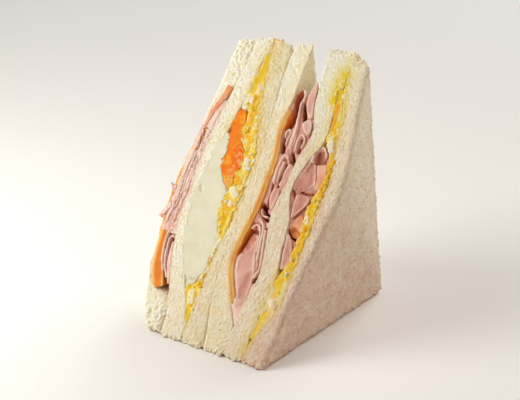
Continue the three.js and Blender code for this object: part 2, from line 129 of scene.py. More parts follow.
@dataclass(frozen=True)
class Pattern:
    """A random pattern through space, always the same for a size and a seed."""

    size: Size  # of its features, in millimetres
    seed: int

    def noise(self, points: np.ndarray) -> np.ndarray:
        """Smooth noise: random numbers at the corners of cells of the size, eased between.

        Args:
            points: places, three coordinates in the last axis.

        Returns:
            A number from -1 to 1 for each place.
        """
        scaled = points / np.asarray(self.size, float)
        base = np.floor(scaled)
        t = smooth(scaled - base)
        total = np.zeros(points.shape[:-1])
        for corner in np.ndindex(2, 2, 2):
            weight = np.prod(np.where(corner, t, 1 - t), axis=-1)
            total += weight * random_at(base + np.array(corner), self.seed)
        return 2 * total - 1

    def billow(self, points: np.ndarray) -> np.ndarray:
        """Puffs from 0 to 1: the noise without its sign, plus half as much at half the size."""
        fine = Pattern(np.asarray(self.size, float) / 2, self.seed + 1)
        return (np.abs(self.noise(points)) + 0.5 * np.abs(fine.noise(points))) / 1.1

    def cells(self, points: np.ndarray) -> Cells:
        """Cellular pattern, with one random point to each cell of the size.

        Args:
            points: places, three coordinates in the last axis.

        Returns:
            What lies nearest to each place.
        """
        scaled = points / np.asarray(self.size, float)
        base = np.floor(scaled)
        nearest = np.full(points.shape[:-1], np.inf)
        second = nearest.copy()
        mark = np.zeros_like(nearest)
        for offset in np.ndindex(3, 3, 3):
            cell = base + np.array(offset) - 1
            spot = cell + np.stack([random_at(cell, self.seed + axis) for axis in range(3)], axis=-1)
            distance = np.linalg.norm(scaled - spot, axis=-1)
            closer = distance < nearest
            second = np.where(closer, nearest, np.minimum(second, distance))
            nearest = np.where(closer, distance, nearest)
            mark = np.where(closer, random_at(cell, self.seed + 3), mark)
        return Cells(nearest, second, mark)

    def knobs(self, points: np.ndarray, radius: float = 0.8) -> np.ndarray:
        """1 at each random point, eased to 0 at a radius in cell sizes."""
        return smooth(1 - self.cells(points).distance / radius)

    def pits(self, points: np.ndarray, radius: float) -> np.ndarray:
        """As the knobs, with a radius of 0.4 to 1.3 times this one, and none at a third of them."""
        near = self.cells(points)
        return smooth(1 - near.distance / (radius * (0.4 + 0.9 * near.mark))) * (near.mark > 0.33)


# ---- the food's own coordinates ----

@dataclass(frozen=True)
class Wedge:
    """The triangular whole, and where a point of the food lies in the part's frame."""

    base_run: float = 97.0
    tip_height: float = 110.0
    centre_x: float = 8.0
    centre_y: float = -1.8

    @property
    def cut_length(self) -> float:
        """Length of the sloping cut."""
        return math.hypot(self.base_run, self.tip_height)

    @property
    def corner_u(self) -> float:
        """How far up the cut the right-angled back corner lies."""
        return self.base_run**2 / self.cut_length

    @property
    def corner_depth(self) -> float:
        """How far in from the cut the back corner lies."""
        return self.base_run * self.tip_height / self.cut_length

    def height(self, u: np.ndarray, depth: np.ndarray) -> np.ndarray:
        """Height above the underside."""
        return (u * self.tip_height - depth * self.base_run) / self.cut_length

    def place(self, x: np.ndarray, u: np.ndarray, depth: np.ndarray) -> np.ndarray:
        """Points of the part's frame: u and depth are turned through the slope of the cut.

        Args:
            x: across the stack.
            u: up the cut.
            depth: in from the cut.

        Returns:
            Points, three coordinates in the last axis.
        """
        run = (u * self.base_run + depth * self.tip_height) / self.cut_length
        y = run - self.base_run / 2 + self.centre_y
        return np.stack(np.broadcast_arrays(x + self.centre_x, y, self.height(u, depth)), axis=-1)

    def edge_distance(self, u: np.ndarray, depth: np.ndarray, start: np.ndarray | float) -> np.ndarray:
        """Distance of a point from the crustless edge that runs from start on the cut to the corner."""
        run = self.corner_u - start
        return np.abs(run * depth - self.corner_depth * (u - start)) / np.hypot(run, self.corner_depth)


@dataclass(frozen=True)
class SliceShape:
    """A slice's two faces where they meet the cut, at twelve even steps from bottom to top tip."""

    name: str
    left: tuple[float, ...]
    right: tuple[float, ...]
    tips: tuple[float, float]  # where up the cut its left and right faces end
    foot: float = 0.0
    set_back: float = 0.0  # how far the middle of its cut lies behind the rest
    closed: tuple[tuple[float, float], ...] = ()  # from where to where it touches the next slice
    parting: float = 1.0  # how far its seam with the next slice opens at the tips
    torn: bool = False  # whether its foot and its top are torn


SLICES = (
    SliceShape("bread_slice_1",
               (-32, -39, -43.5, -46.4, -48.4, -49.4, -50, -50.3, -50, -49.3, -49.2, -49.2),
               (-25.2, -29.5, -42, -44, -45.7, -46.8, -47.6, -48, -46.2, -43, -40.1, -40.6),
               tips=(144.2, 144.6), foot=1.4, set_back=2.4, closed=((-9, 17), (121, 160)), torn=True),
    SliceShape("bread_slice_2",
               (-24.9, -26.2, -31, -35.7, -39, -39.8, -40.6, -41.3, -41, -40.2, -39.8, -40.3),
               (-13.3, -15.6, -22.5, -29.9, -34, -36.3, -36, -34.6, -33.3, -32, -32.1, -30.5),
               tips=(146.6, 148.4), closed=((-9, 8), (141, 160)), parting=0.5),
    SliceShape("bread_slice_3",
               (-13, -13.4, -14.1, -14.9, -14.3, -14.2, -15, -16, -22, -25.6, -28.3, -30.2),
               (-1.2, -4.2, -7.2, -9.4, -10.3, -10.6, -11.4, -13.2, -15.2, -17.2, -18.8, -20),
               tips=(148.4, 146.8), set_back=0.4, closed=((-9, 160),)),
    SliceShape("bread_slice_4",
               (-0.9, -3.9, -6.9, -9.1, -10, -10.3, -11.1, -12.9, -14.9, -16.9, -18.5, -19.7),
               (9.6, 9.3, 2, -5, -6, -4.8, -5.4, -6.3, -9.6, -8.8, -9.7, -10),
               tips=(148.2, 149.2)),
    SliceShape("bread_slice_5",
               (9.9, 9.6, 9.7, 11, 8.1, 4.6, 5, 5.6, 7.6, 3.3, 0.8, -1.2),
               (18.6, 18.8, 19.3, 19.5, 16.5, 14.2, 9, 10.6, 15, 13.3, 10.7, 11.9),
               tips=(149.8, 150.2), closed=((-9, 9), (133, 160)), parting=0.0),
    SliceShape("bread_slice_6",
               (19, 20.6, 25.3, 25.6, 25.7, 25, 24.6, 24, 20.6, 17.5, 13.4, 12.3),
               (31.2, 31.2, 31, 31.1, 31.5, 32, 32.8, 31.9, 29.3, 26.2, 23.1, 21),
               tips=(149.6, 146.2), set_back=0.3),
)


class Gap(Enum):
    """The spaces between slices that hold a filling, by the place in SLICES of the slice on the left."""

    LEFT = 0
    EGG = 1
    MIDDLE = 3
    RIGHT = 4


class Side(Enum):
    """The two sides of a gap or a slice, as the cut is faced."""

    LEFT = 0
    RIGHT = 1


@dataclass(frozen=True)
class Stack:
    """The six slices side by side, pinched along the crustless edges and swollen towards the cut."""

    wedge: Wedge = Wedge()
    clearance: float = 0.3

    def face(self, profile: tuple[float, ...], u: np.ndarray, share: np.ndarray) -> np.ndarray:
        """x of a face on the line that runs from u on the cut to the back corner.

        It is the straight line between the profile's ends, plus what the profile has over that line
        at the cut times one minus the share squared.

        Args:
            profile: x of the face on the cut, at even steps.
            u: where the line starts on the cut.
            share: how far along that line, from 0 to 1.

        Returns:
            x of the face.
        """
        wedge = self.wedge

        def pinched(height: np.ndarray) -> np.ndarray:
            """x of the straight line between the profile's ends, by height."""
            return profile[0] + (profile[-1] - profile[0]) * height / wedge.tip_height

        inner = u + (wedge.corner_u - u) * share
        swell = spline(np.array(profile, float), u / wedge.cut_length) - pinched(wedge.height(u, 0.0))
        return pinched(wedge.height(inner, wedge.corner_depth * share)) + swell * (1 - share**2)

    def faces(self, number: int, u: np.ndarray, share: np.ndarray,
              clearance: float | None = None) -> tuple[np.ndarray, np.ndarray]:
        """x of a slice's left and right face; the right one stays clear of the next slice.

        Args:
            number: the slice's place in SLICES.
            u: where a line to the back corner starts on the cut.
            share: how far along that line, from 0 to 1.
            clearance: how far the right face stays clear, or else the stack's own clearance.

        Returns:
            x of the left face and of the right face.
        """
        clearance = self.clearance if clearance is None else clearance
        left = self.face(SLICES[number].left, u, share)
        right = self.face(SLICES[number].right, u, share)
        if number + 1 < len(SLICES):
            right = np.minimum(right, self.face(SLICES[number + 1].left, u, share) - clearance)
        return left, right

    def gap(self, gap: Gap, u: np.ndarray, share: np.ndarray) -> tuple[np.ndarray, np.ndarray]:
        """x of the two walls of a gap, less the clearance."""
        left, right = self.faces(gap.value, u, share)[1], self.faces(gap.value + 1, u, share)[0]
        return left + self.clearance, right - self.clearance

    def carry(self, gap: Gap, x: np.ndarray, u: np.ndarray, depth: np.ndarray) -> np.ndarray:
        """Carries a point of the cut inwards: it keeps its share of the gap's width, on the line
        from its place on the cut to the back corner.

        Args:
            gap: the gap that holds the point.
            x: across the stack, on the cut.
            u: up the cut.
            depth: how far in.

        Returns:
            The point's x, u and depth, in the last axis.
        """
        share = depth / self.wedge.corner_depth
        from_left, from_right = self.gap(gap, u, np.zeros_like(share))
        left, right = self.gap(gap, u, share)
        across = (x - from_left) / (from_right - from_left)
        inner = u + (self.wedge.corner_u - u) * share
        return np.stack([left + (right - left) * across, inner, depth], axis=-1)


# ---- meshes ----

@dataclass
class Surface:
    """A mesh in the making: its points in the food's coordinates, its quads and painted layers."""

    food: np.ndarray
    quads: np.ndarray
    layers: dict[str, np.ndarray] = field(default_factory=dict)
    points: np.ndarray | None = None

    def settle(self, wedge: Wedge) -> None:
        """Works out the points of the part's frame from the food's coordinates."""
        self.points = wedge.place(*self.food.T)

    def normals(self) -> np.ndarray:
        """Unit normals: at each point the sum of the cross products of the quads' diagonals.

        Returns:
            One row for each point.
        """
        corners = self.points[self.quads]
        cross = np.cross(corners[:, 2] - corners[:, 0], corners[:, 3] - corners[:, 1])
        total = np.stack([
            np.bincount(self.quads.ravel(), np.repeat(cross[:, axis], 4), len(self.points))
            for axis in range(3)], axis=-1)
        return total / np.maximum(np.linalg.norm(total, axis=-1, keepdims=True), 1e-12)

    def push(self, height: np.ndarray) -> None:
        """Moves each point along its normal by a height."""
        self.points = self.points + self.normals() * height[:, None]


def box_surface(ups: np.ndarray, ins: np.ndarray, sides: np.ndarray,
                spot: Callable[[np.ndarray, np.ndarray, np.ndarray], np.ndarray]) -> Surface:
    """A closed surface with the topology of a box, from a function of its lattice coordinates.

    Only the outside of the lattice is kept: six grids that share their edges.

    Args:
        ups: lattice coordinates from the bottom to the top.
        ins: lattice coordinates from the face inwards.
        sides: lattice coordinates from left to right.
        spot: gives x, u and depth for arrays of the three coordinates.

    Returns:
        The surface, with its faces pointing outwards.
    """
    shape = (len(ups), len(ins), len(sides))
    outer = np.ones(shape, bool)
    outer[1:-1, 1:-1, 1:-1] = False
    number = np.full(shape, -1)
    number[outer] = np.arange(outer.sum())
    grids = (number[:, :, 0], number[:, :, -1].T, number[:, 0, :].T, number[:, -1, :], number[0],
             number[-1].T)
    quads = np.concatenate([
        np.stack([g[:-1, :-1], g[1:, :-1], g[1:, 1:], g[:-1, 1:]], axis=-1).reshape(-1, 4)
        for g in grids])
    up, inward, side = np.nonzero(outer)
    return Surface(spot(ups[up], ins[inward], sides[side]), quads)


def make_piece(name: str, surface: Surface, material: Material, slot: str,
               *replaced: str) -> None:
    """Makes a smooth-shaded piece that rides with the food.

    Args:
        name: the piece's name.
        surface: its mesh, in millimetres, with painted layers of one or four numbers a point.
        material: its finish.
        slot: not used.
        replaced: the CAD nodes that it stands for.
    """
    mesh = bpy.data.meshes.new(name)
    mesh.vertices.add(len(surface.points))
    mesh.vertices.foreach_set("co", (surface.points * MM).astype(np.float32).ravel())
    mesh.loops.add(surface.quads.size)
    mesh.loops.foreach_set("vertex_index", surface.quads.astype(np.int32).ravel())
    mesh.polygons.add(len(surface.quads))
    mesh.polygons.foreach_set("loop_start", np.arange(0, surface.quads.size, 4, dtype=np.int32))
    mesh.update(calc_edges=True)
    mesh.shade_smooth()
    for layer, values in surface.layers.items():
        colour = values.ndim == 2
        made = mesh.attributes.new(layer, "FLOAT_COLOR" if colour else "FLOAT", "POINT")
        made.data.foreach_set("color" if colour else "value", values.astype(np.float32).ravel())
    mesh.materials.append(material)
    piece = bpy.data.objects.new(name, mesh)
    bpy.context.scene.collection.objects.link(piece)
    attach(piece, BODY)
    if replaced:
        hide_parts(*replaced)
    log.info("%s: %d faces", name, len(surface.quads))


# ---- finishes ----

def linear(colour: str) -> tuple[float, float, float, float]:
    """Linear colour, with an alpha of 1, from an sRGB hex value such as "#F5EBD2"."""
    values = [int(colour[i:i + 2], 16) / 255 for i in (1, 3, 5)]
    return (*(v / 12.92 if v <= 0.04045 else ((v + 0.055) / 1.055) ** 2.4 for v in values), 1.0)


def per_metre(size: float) -> float:
    """Scale of a pattern in Object coordinates whose features are this many millimetres apart."""
    return 1 / (size * MM)


def add(tree: NodeTree, kind: str, sockets: dict | None = None, **settings) -> Node:
    """Adds a shader node with its settings and links.

    Args:
        tree: the node tree.
        kind: the node's type, without "ShaderNode".
        sockets: for each input, by name or place, a value or the output that feeds it.
        settings: the node's own properties.

    Returns:
        The new node.
    """
    node = tree.nodes.new("ShaderNode" + kind)
    for key, value in settings.items():
        setattr(node, key, value)
    for name, value in (sockets or {}).items():
        if isinstance(value, NodeSocket):
            tree.links.new(value, node.inputs[name])
        else:
            node.inputs[name].default_value = value
    return node


@dataclass(frozen=True)
class Finish:
    """What all finishes share: a moist or dry food surface that lets some light into it."""

    name: str
    roughness: float
    ior: float
    gloss: float  # strength of its mirror-like part, 0.5 for a smooth wet surface
    glow: float  # share of light that enters and comes out again
    glow_reach: float  # how far light travels inside, in millimetres
    glow_tint: tuple[float, float, float]  # share of that reach for red, green and blue
    bump_size: float
    bump_height: float

    def colour(self, tree: NodeTree) -> NodeSocket:
        """Output with the surface's colour."""
        raise NotImplementedError

    def bumps(self, tree: NodeTree) -> NodeSocket:
        """Output with the height of the fine bump, from 0 to 1."""
        return self.grain(tree, self.bump_size)

    def painted(self, tree: NodeTree, layer: str, output: str = "Fac") -> NodeSocket:
        """An output of the node that reads a painted layer of the mesh."""
        return add(tree, "Attribute", attribute_name=layer).outputs[output]

    def grain(self, tree: NodeTree, size: float, detail: float = 3.0) -> NodeSocket:
        """Value output of a noise in Object coordinates with features of a size in millimetres."""
        where = add(tree, "TexCoord").outputs["Object"]
        return add(tree, "TexNoise", {
            "Vector": where, "Scale": per_metre(size), "Detail": detail}).outputs[0]

    def mixed(self, tree: NodeTree, factor: NodeSocket, first: NodeSocket,
              second: NodeSocket | tuple[float, ...]) -> NodeSocket:
        """Colour output of a mix from the first to the second colour by a factor."""
        return add(tree, "Mix", {0: factor, 6: first, 7: second}, data_type="RGBA").outputs[2]

    def ramp(self, tree: NodeTree, factor: NodeSocket,
             stops: tuple[tuple[float, str], ...]) -> NodeSocket:
        """Colour output of a ramp.

        Args:
            tree: the node tree.
            factor: where along the ramp.
            stops: places with their sRGB hex colours.

        Returns:
            The ramp's colour, in straight steps between the stops.
        """
        node = add(tree, "ValToRGB", {0: factor})
        elements = node.color_ramp.elements
        while len(elements) < len(stops):
            elements.new(1.0)
        for element, (place, colour) in zip(elements, stops):
            element.position = place
            element.color = linear(colour)
        return node.outputs[0]

    def material(self) -> Material:
        """Builds the material.

        Returns:
            A Principled surface with the finish's colour, gloss, inner glow and fine bump.
        """
        made = bpy.data.materials.new(self.name)
        made.use_nodes = True
        tree = made.node_tree
        tree.nodes.clear()
        bump = add(tree, "Bump", {
            "Height": self.bumps(tree), "Distance": self.bump_height * MM, "Strength": 1.0})
        surface = add(tree, "BsdfPrincipled", {
            "Base Color": self.colour(tree), "Roughness": self.roughness, "IOR": self.ior,
            "Specular IOR Level": self.gloss,
            "Subsurface Weight": self.glow, "Subsurface Radius": self.glow_tint,
            "Subsurface Scale": self.glow_reach * MM, "Normal": bump.outputs[0]})
        add(tree, "OutputMaterial", {"Surface": surface.outputs[0]})
        return made


@dataclass(frozen=True)
class BreadCrumb(Finish):
    """Soft white sandwich bread, sliced and trimmed: a dry, matt foam of fine pores. Its walls glow
    cream, its pores are deeper in colour, partly their own colour and partly painted shade, and it takes
    up the colours of wet fillings."""

    name: str = "white bread crumb"
    roughness: float = 0.92
    ior: float = 1.35
    gloss: float = 0.2
    glow: float = 0.3
    glow_reach: float = 0.5
    glow_tint: tuple[float, float, float] = (1.0, 0.88, 0.66)
    bump_size: float = 1.0
    bump_height: float = 0.34
    light: str = "#FFFDEC"
    deep: str = "#FEF6D8"
    # colour of the pores: partly their own, partly painted shade in the pits and creases
    pore: str = "#DAC680"
    mottle_size: float = 4.0
    mottle_detail: float = 5.0
    # painted shade at the middle of each pit of the bump pattern
    pit_shade_stops: tuple[tuple[float, str], ...] = ((0.16, "#F4F4F4"), (0.58, "#000000"))
    pore_stretch: tuple[float, float, float] = (1.0, 0.85, 0.7)  # under 1 makes them longer

    def bumps(self, tree: NodeTree) -> NodeSocket:
        """Height output of the crumb: the distance to random points, drawn out, in two octaves.

        Args:
            tree: the node tree.

        Returns:
            The output, low in a pit round every random point.
        """
        where = add(tree, "TexCoord").outputs["Object"]
        taller = add(tree, "Mapping", {"Vector": where, "Scale": self.pore_stretch}).outputs[0]
        sockets = {"Vector": taller, "Scale": per_metre(self.bump_size), "Detail": 1.0, "Roughness": 0.6}
        return add(tree, "TexVoronoi", sockets).outputs["Distance"]

    def colour(self, tree: NodeTree) -> NodeSocket:
        """Cream mottled over a few millimetres, darker with painted shade in the pores, with stains and
        painted light laid over it.

        Args:
            tree: the node tree.

        Returns:
            The colour output.
        """
        mottle = self.grain(tree, self.mottle_size, self.mottle_detail)
        base = self.ramp(tree, mottle, ((0.36, self.light), (0.66, self.deep)))
        pit_shade = self.ramp(tree, self.bumps(tree), self.pit_shade_stops)
        pit_shaded = self.mixed(tree, pit_shade, base, linear(self.pore))
        pored = self.mixed(tree, self.painted(tree, "pore"), pit_shaded, linear(self.pore))
        stain_and_light = add(tree, "Attribute", attribute_name="stain_and_light")
        return self.mixed(tree, stain_and_light.outputs["Alpha"], pored, stain_and_light.outputs["Color"])


@dataclass(frozen=True)
class CookedHam(Finish):
    """Pressed cooked ham, machine-sliced: moist and faintly glossy, pale where a slice's edge is cut,
    deeper and browner with painted shade where its folds go inwards."""

    name: str = "cooked ham"
    roughness: float = 0.42
    ior: float = 1.42
    gloss: float = 0.35
    glow: float = 0.3
    glow_reach: float = 1.4
    glow_tint: tuple[float, float, float] = (1.0, 0.35, 0.22)
    bump_size: float = 0.8
    bump_height: float = 0.12
    # pinks from a pale cut edge to the painted shade of the deepest folds
    tones: tuple[tuple[float, str], ...] = (
        (0.0, "#F6D8C8"), (0.22, "#E2AB99"), (0.5, "#C4806A"), (0.75, "#AC5A2C"), (1.0, "#7A2C0C"))
    # colour of the painted orange glow
    orange: str = "#EA8C36"
    marble: str = "#F2CDBB"
    marble_size: float = 1.7
    marble_detail: float = 6.0
    marble_stops: tuple[tuple[float, str], ...] = ((0.5, "#000000"), (0.72, "#5A5A5A"))

    def colour(self, tree: NodeTree) -> NodeSocket:
        """A ramp of pinks by the painted tone and shade, marbled paler, with a painted orange glow beside
        egg and cheese.

        Args:
            tree: the node tree.

        Returns:
            The colour output.
        """
        meat = self.ramp(tree, self.painted(tree, "tone_and_painted_shade"), self.tones)
        marbling = self.grain(tree, self.marble_size, self.marble_detail)
        speck = self.ramp(tree, marbling, self.marble_stops)
        marbled = self.mixed(tree, speck, meat, linear(self.marble))
        return self.mixed(tree, self.painted(tree, "painted_orange_glow"), marbled, linear(self.orange))


@dataclass(frozen=True)
class SlicedCheese(Finish):
    """Processed cheese slice: smooth and waxy, with an orange body that lets light in, paler at its cut
    edge and with painted shade deeper in.
    """

    name: str = "orange sliced cheese"
    roughness: float = 0.45
    ior: float = 1.45
    gloss: float = 0.2
    glow: float = 0.4
    glow_reach: float = 1.8
    glow_tint: tuple[float, float, float] = (1.0, 0.45, 0.12)
    bump_size: float = 2.5
    bump_height: float = 0.08
    # from the pale cut edge through the body to the painted shade of its inner faces
    tones: tuple[tuple[float, str], ...] = ((0.0, "#FFCE7A"), (0.4, "#F58C20"), (1.0, "#B4561A"))

    def colour(self, tree: NodeTree) -> NodeSocket:
        """Paler at the cut edge, and deep orange on the faces that go inwards, where the deep orange is
        painted shade.
        """
        return self.ramp(tree, self.painted(tree, "tone_and_painted_shade"), self.tones)


@dataclass(frozen=True)
class BoiledWhite(Finish):
    """White of a hard-boiled egg, cut through: smooth and moist, in two close green-grey tones, the
    green-grey being a painted cast of the light on it."""

    name: str = "boiled egg white"
    roughness: float = 0.32
    ior: float = 1.38
    gloss: float = 0.35
    glow: float = 0.5
    glow_reach: float = 2.2
    glow_tint: tuple[float, float, float] = (1.0, 0.9, 0.65)
    bump_size: float = 3.0
    bump_height: float = 0.12
    # painted green-grey cast of the light on the white
    tones: tuple[tuple[float, str], ...] = ((0.35, "#E6E0C4"), (0.65, "#DDDBBC"))
    cloud_size: float = 7.0
    cloud_detail: float = 2.0

    def colour(self, tree: NodeTree) -> NodeSocket:
        """The two tones in soft clouds."""
        return self.ramp(tree, self.grain(tree, self.cloud_size, self.cloud_detail), self.tones)


@dataclass(frozen=True)
class PaintedEgg(Finish):
    """Yolk and mashed egg: crumbly, soft and barely moist, in the colours painted on the mesh."""

    name: str = "boiled yolk and mashed egg"
    roughness: float = 0.55
    ior: float = 1.4
    gloss: float = 0.15
    glow: float = 0.5
    glow_reach: float = 1.5
    glow_tint: tuple[float, float, float] = (1.0, 0.6, 0.15)
    bump_size: float = 0.7
    bump_height: float = 0.16

    def colour(self, tree: NodeTree) -> NodeSocket:
        """The painted colour."""
        return self.painted(tree, "egg_colour", "Color")


@dataclass(frozen=True)
class Pantry:
    """The materials, made once."""

    bread: Material = field(default_factory=lambda: BreadCrumb().material())
    ham: Material = field(default_factory=lambda: CookedHam().material())
    cheese: Material = field(default_factory=lambda: SlicedCheese().material())
    white: Material = field(default_factory=lambda: BoiledWhite().material())
    egg: Material = field(default_factory=lambda: PaintedEgg().material())


# ---- bread ----

@dataclass(frozen=True)
class StainAndPaintedLight:
    """Colour laid on a slice beside one of its faces: a filling's stain, painted shade, painted light or
    a painted reflection.
    """

    slice: int  # its place in SLICES
    side: Side
    low: float  # from where to where up the slice it runs
    high: float
    reach: float  # how far it goes from the face
    colour: str
    strength: float
    fade: float = 6.0  # height over which it fades out below and above
    soak: float = 14.0  # depth by which it has faded to a third


EGG_STAIN = "#F0CE58"
HAM_STAIN = "#EBB9A6"
STAINS_AND_PAINTED_LIGHT = (
    # Painted shade: tints over whole slices, or over their lower or upper part, deeper on the slices
    # further right.
    StainAndPaintedLight(1, Side.RIGHT, -9, 10, 60, "#F0D2B2", 0.35, fade=30),
    StainAndPaintedLight(2, Side.RIGHT, -9, 160, 60, "#E8D29A", 0.4),
    StainAndPaintedLight(2, Side.RIGHT, 110, 160, 60, "#DCC684", 0.35, fade=20),
    StainAndPaintedLight(2, Side.RIGHT, -9, 20, 60, "#E4CAA0", 0.35, fade=40),
    StainAndPaintedLight(3, Side.RIGHT, -9, 100, 60, "#E8CC92", 0.42, fade=36),
    StainAndPaintedLight(4, Side.RIGHT, -9, 90, 60, "#E2C6A4", 0.5, fade=40),
    StainAndPaintedLight(5, Side.RIGHT, -9, 160, 400, "#ECD4B0", 0.4),
    # Painted reflection: pink from the foot of the last slice up its outer face, for warm light thrown up
    # from below.
    StainAndPaintedLight(5, Side.RIGHT, -9, 4, 400, "#CC8A80", 0.46, fade=135, soak=400),
    # Painted shade in the pocket under the left cheese.
    StainAndPaintedLight(0, Side.RIGHT, 18, 24, 6.0, "#F6DFB4", 0.35),
    StainAndPaintedLight(0, Side.RIGHT, 30, 104, 2.6, "#F4B890", 0.6),
    StainAndPaintedLight(1, Side.LEFT, 20, 112, 0.9, HAM_STAIN, 0.45),
    StainAndPaintedLight(1, Side.RIGHT, 8, 98, 0.9, EGG_STAIN, 0.3),
    StainAndPaintedLight(1, Side.RIGHT, 96, 146, 2.2, EGG_STAIN, 0.55),
    StainAndPaintedLight(2, Side.LEFT, 8, 60, 1.5, EGG_STAIN, 0.5),
    StainAndPaintedLight(2, Side.LEFT, 60, 146, 2.8, EGG_STAIN, 0.75),
    StainAndPaintedLight(2, Side.LEFT, 84, 104, 3.0, "#F4C058", 0.4),
    StainAndPaintedLight(3, Side.RIGHT, 22, 116, 0.9, "#F6B878", 0.6),
    # Partly a pale yellow stain, partly painted light that brightens the shaded inner face at the top of
    # the fourth slice.
    StainAndPaintedLight(3, Side.RIGHT, 116, 142, 5.0, "#FFF2CC", 0.9),
    StainAndPaintedLight(4, Side.LEFT, 24, 120, 0.8, HAM_STAIN, 0.35),
    StainAndPaintedLight(4, Side.RIGHT, 6, 44, 3.0, "#E6CE6A", 0.65),
    StainAndPaintedLight(4, Side.RIGHT, 100, 144, 3.4, "#EEDC80", 0.5),
    StainAndPaintedLight(4, Side.RIGHT, 124, 138, 4.0, "#F6D834", 1.0),
    StainAndPaintedLight(5, Side.LEFT, 118, 138, 2.4, "#F6D834", 0.75),
    StainAndPaintedLight(5, Side.LEFT, 6, 118, 1.8, "#F0CC54", 0.7),
    StainAndPaintedLight(5, Side.LEFT, 108, 147, 3.4, "#EEDC80", 0.5),
)


@dataclass(frozen=True)
class CrumbRelief:
    """Puffs and low swells, minus round pits at some random points; heights in millimetres."""

    puffs: Pattern
    puff_height: float
    swells: Pattern
    swell_height: float
    holes: Pattern
    hole_radius: float  # in cell sizes
    hole_depth: float

    def at(self, points: np.ndarray) -> Triple:
        """The relief at each place.

        Args:
            points: places, three coordinates in the last axis.

        Returns:
            The height in millimetres, and the puffs and the pits from 0 to 1.
        """
        puffs, pits = self.puffs.billow(points), self.holes.pits(points, self.hole_radius)
        height = self.puff_height * puffs + self.swell_height * self.swells.noise(points)
        return height - self.hole_depth * pits, puffs, pits


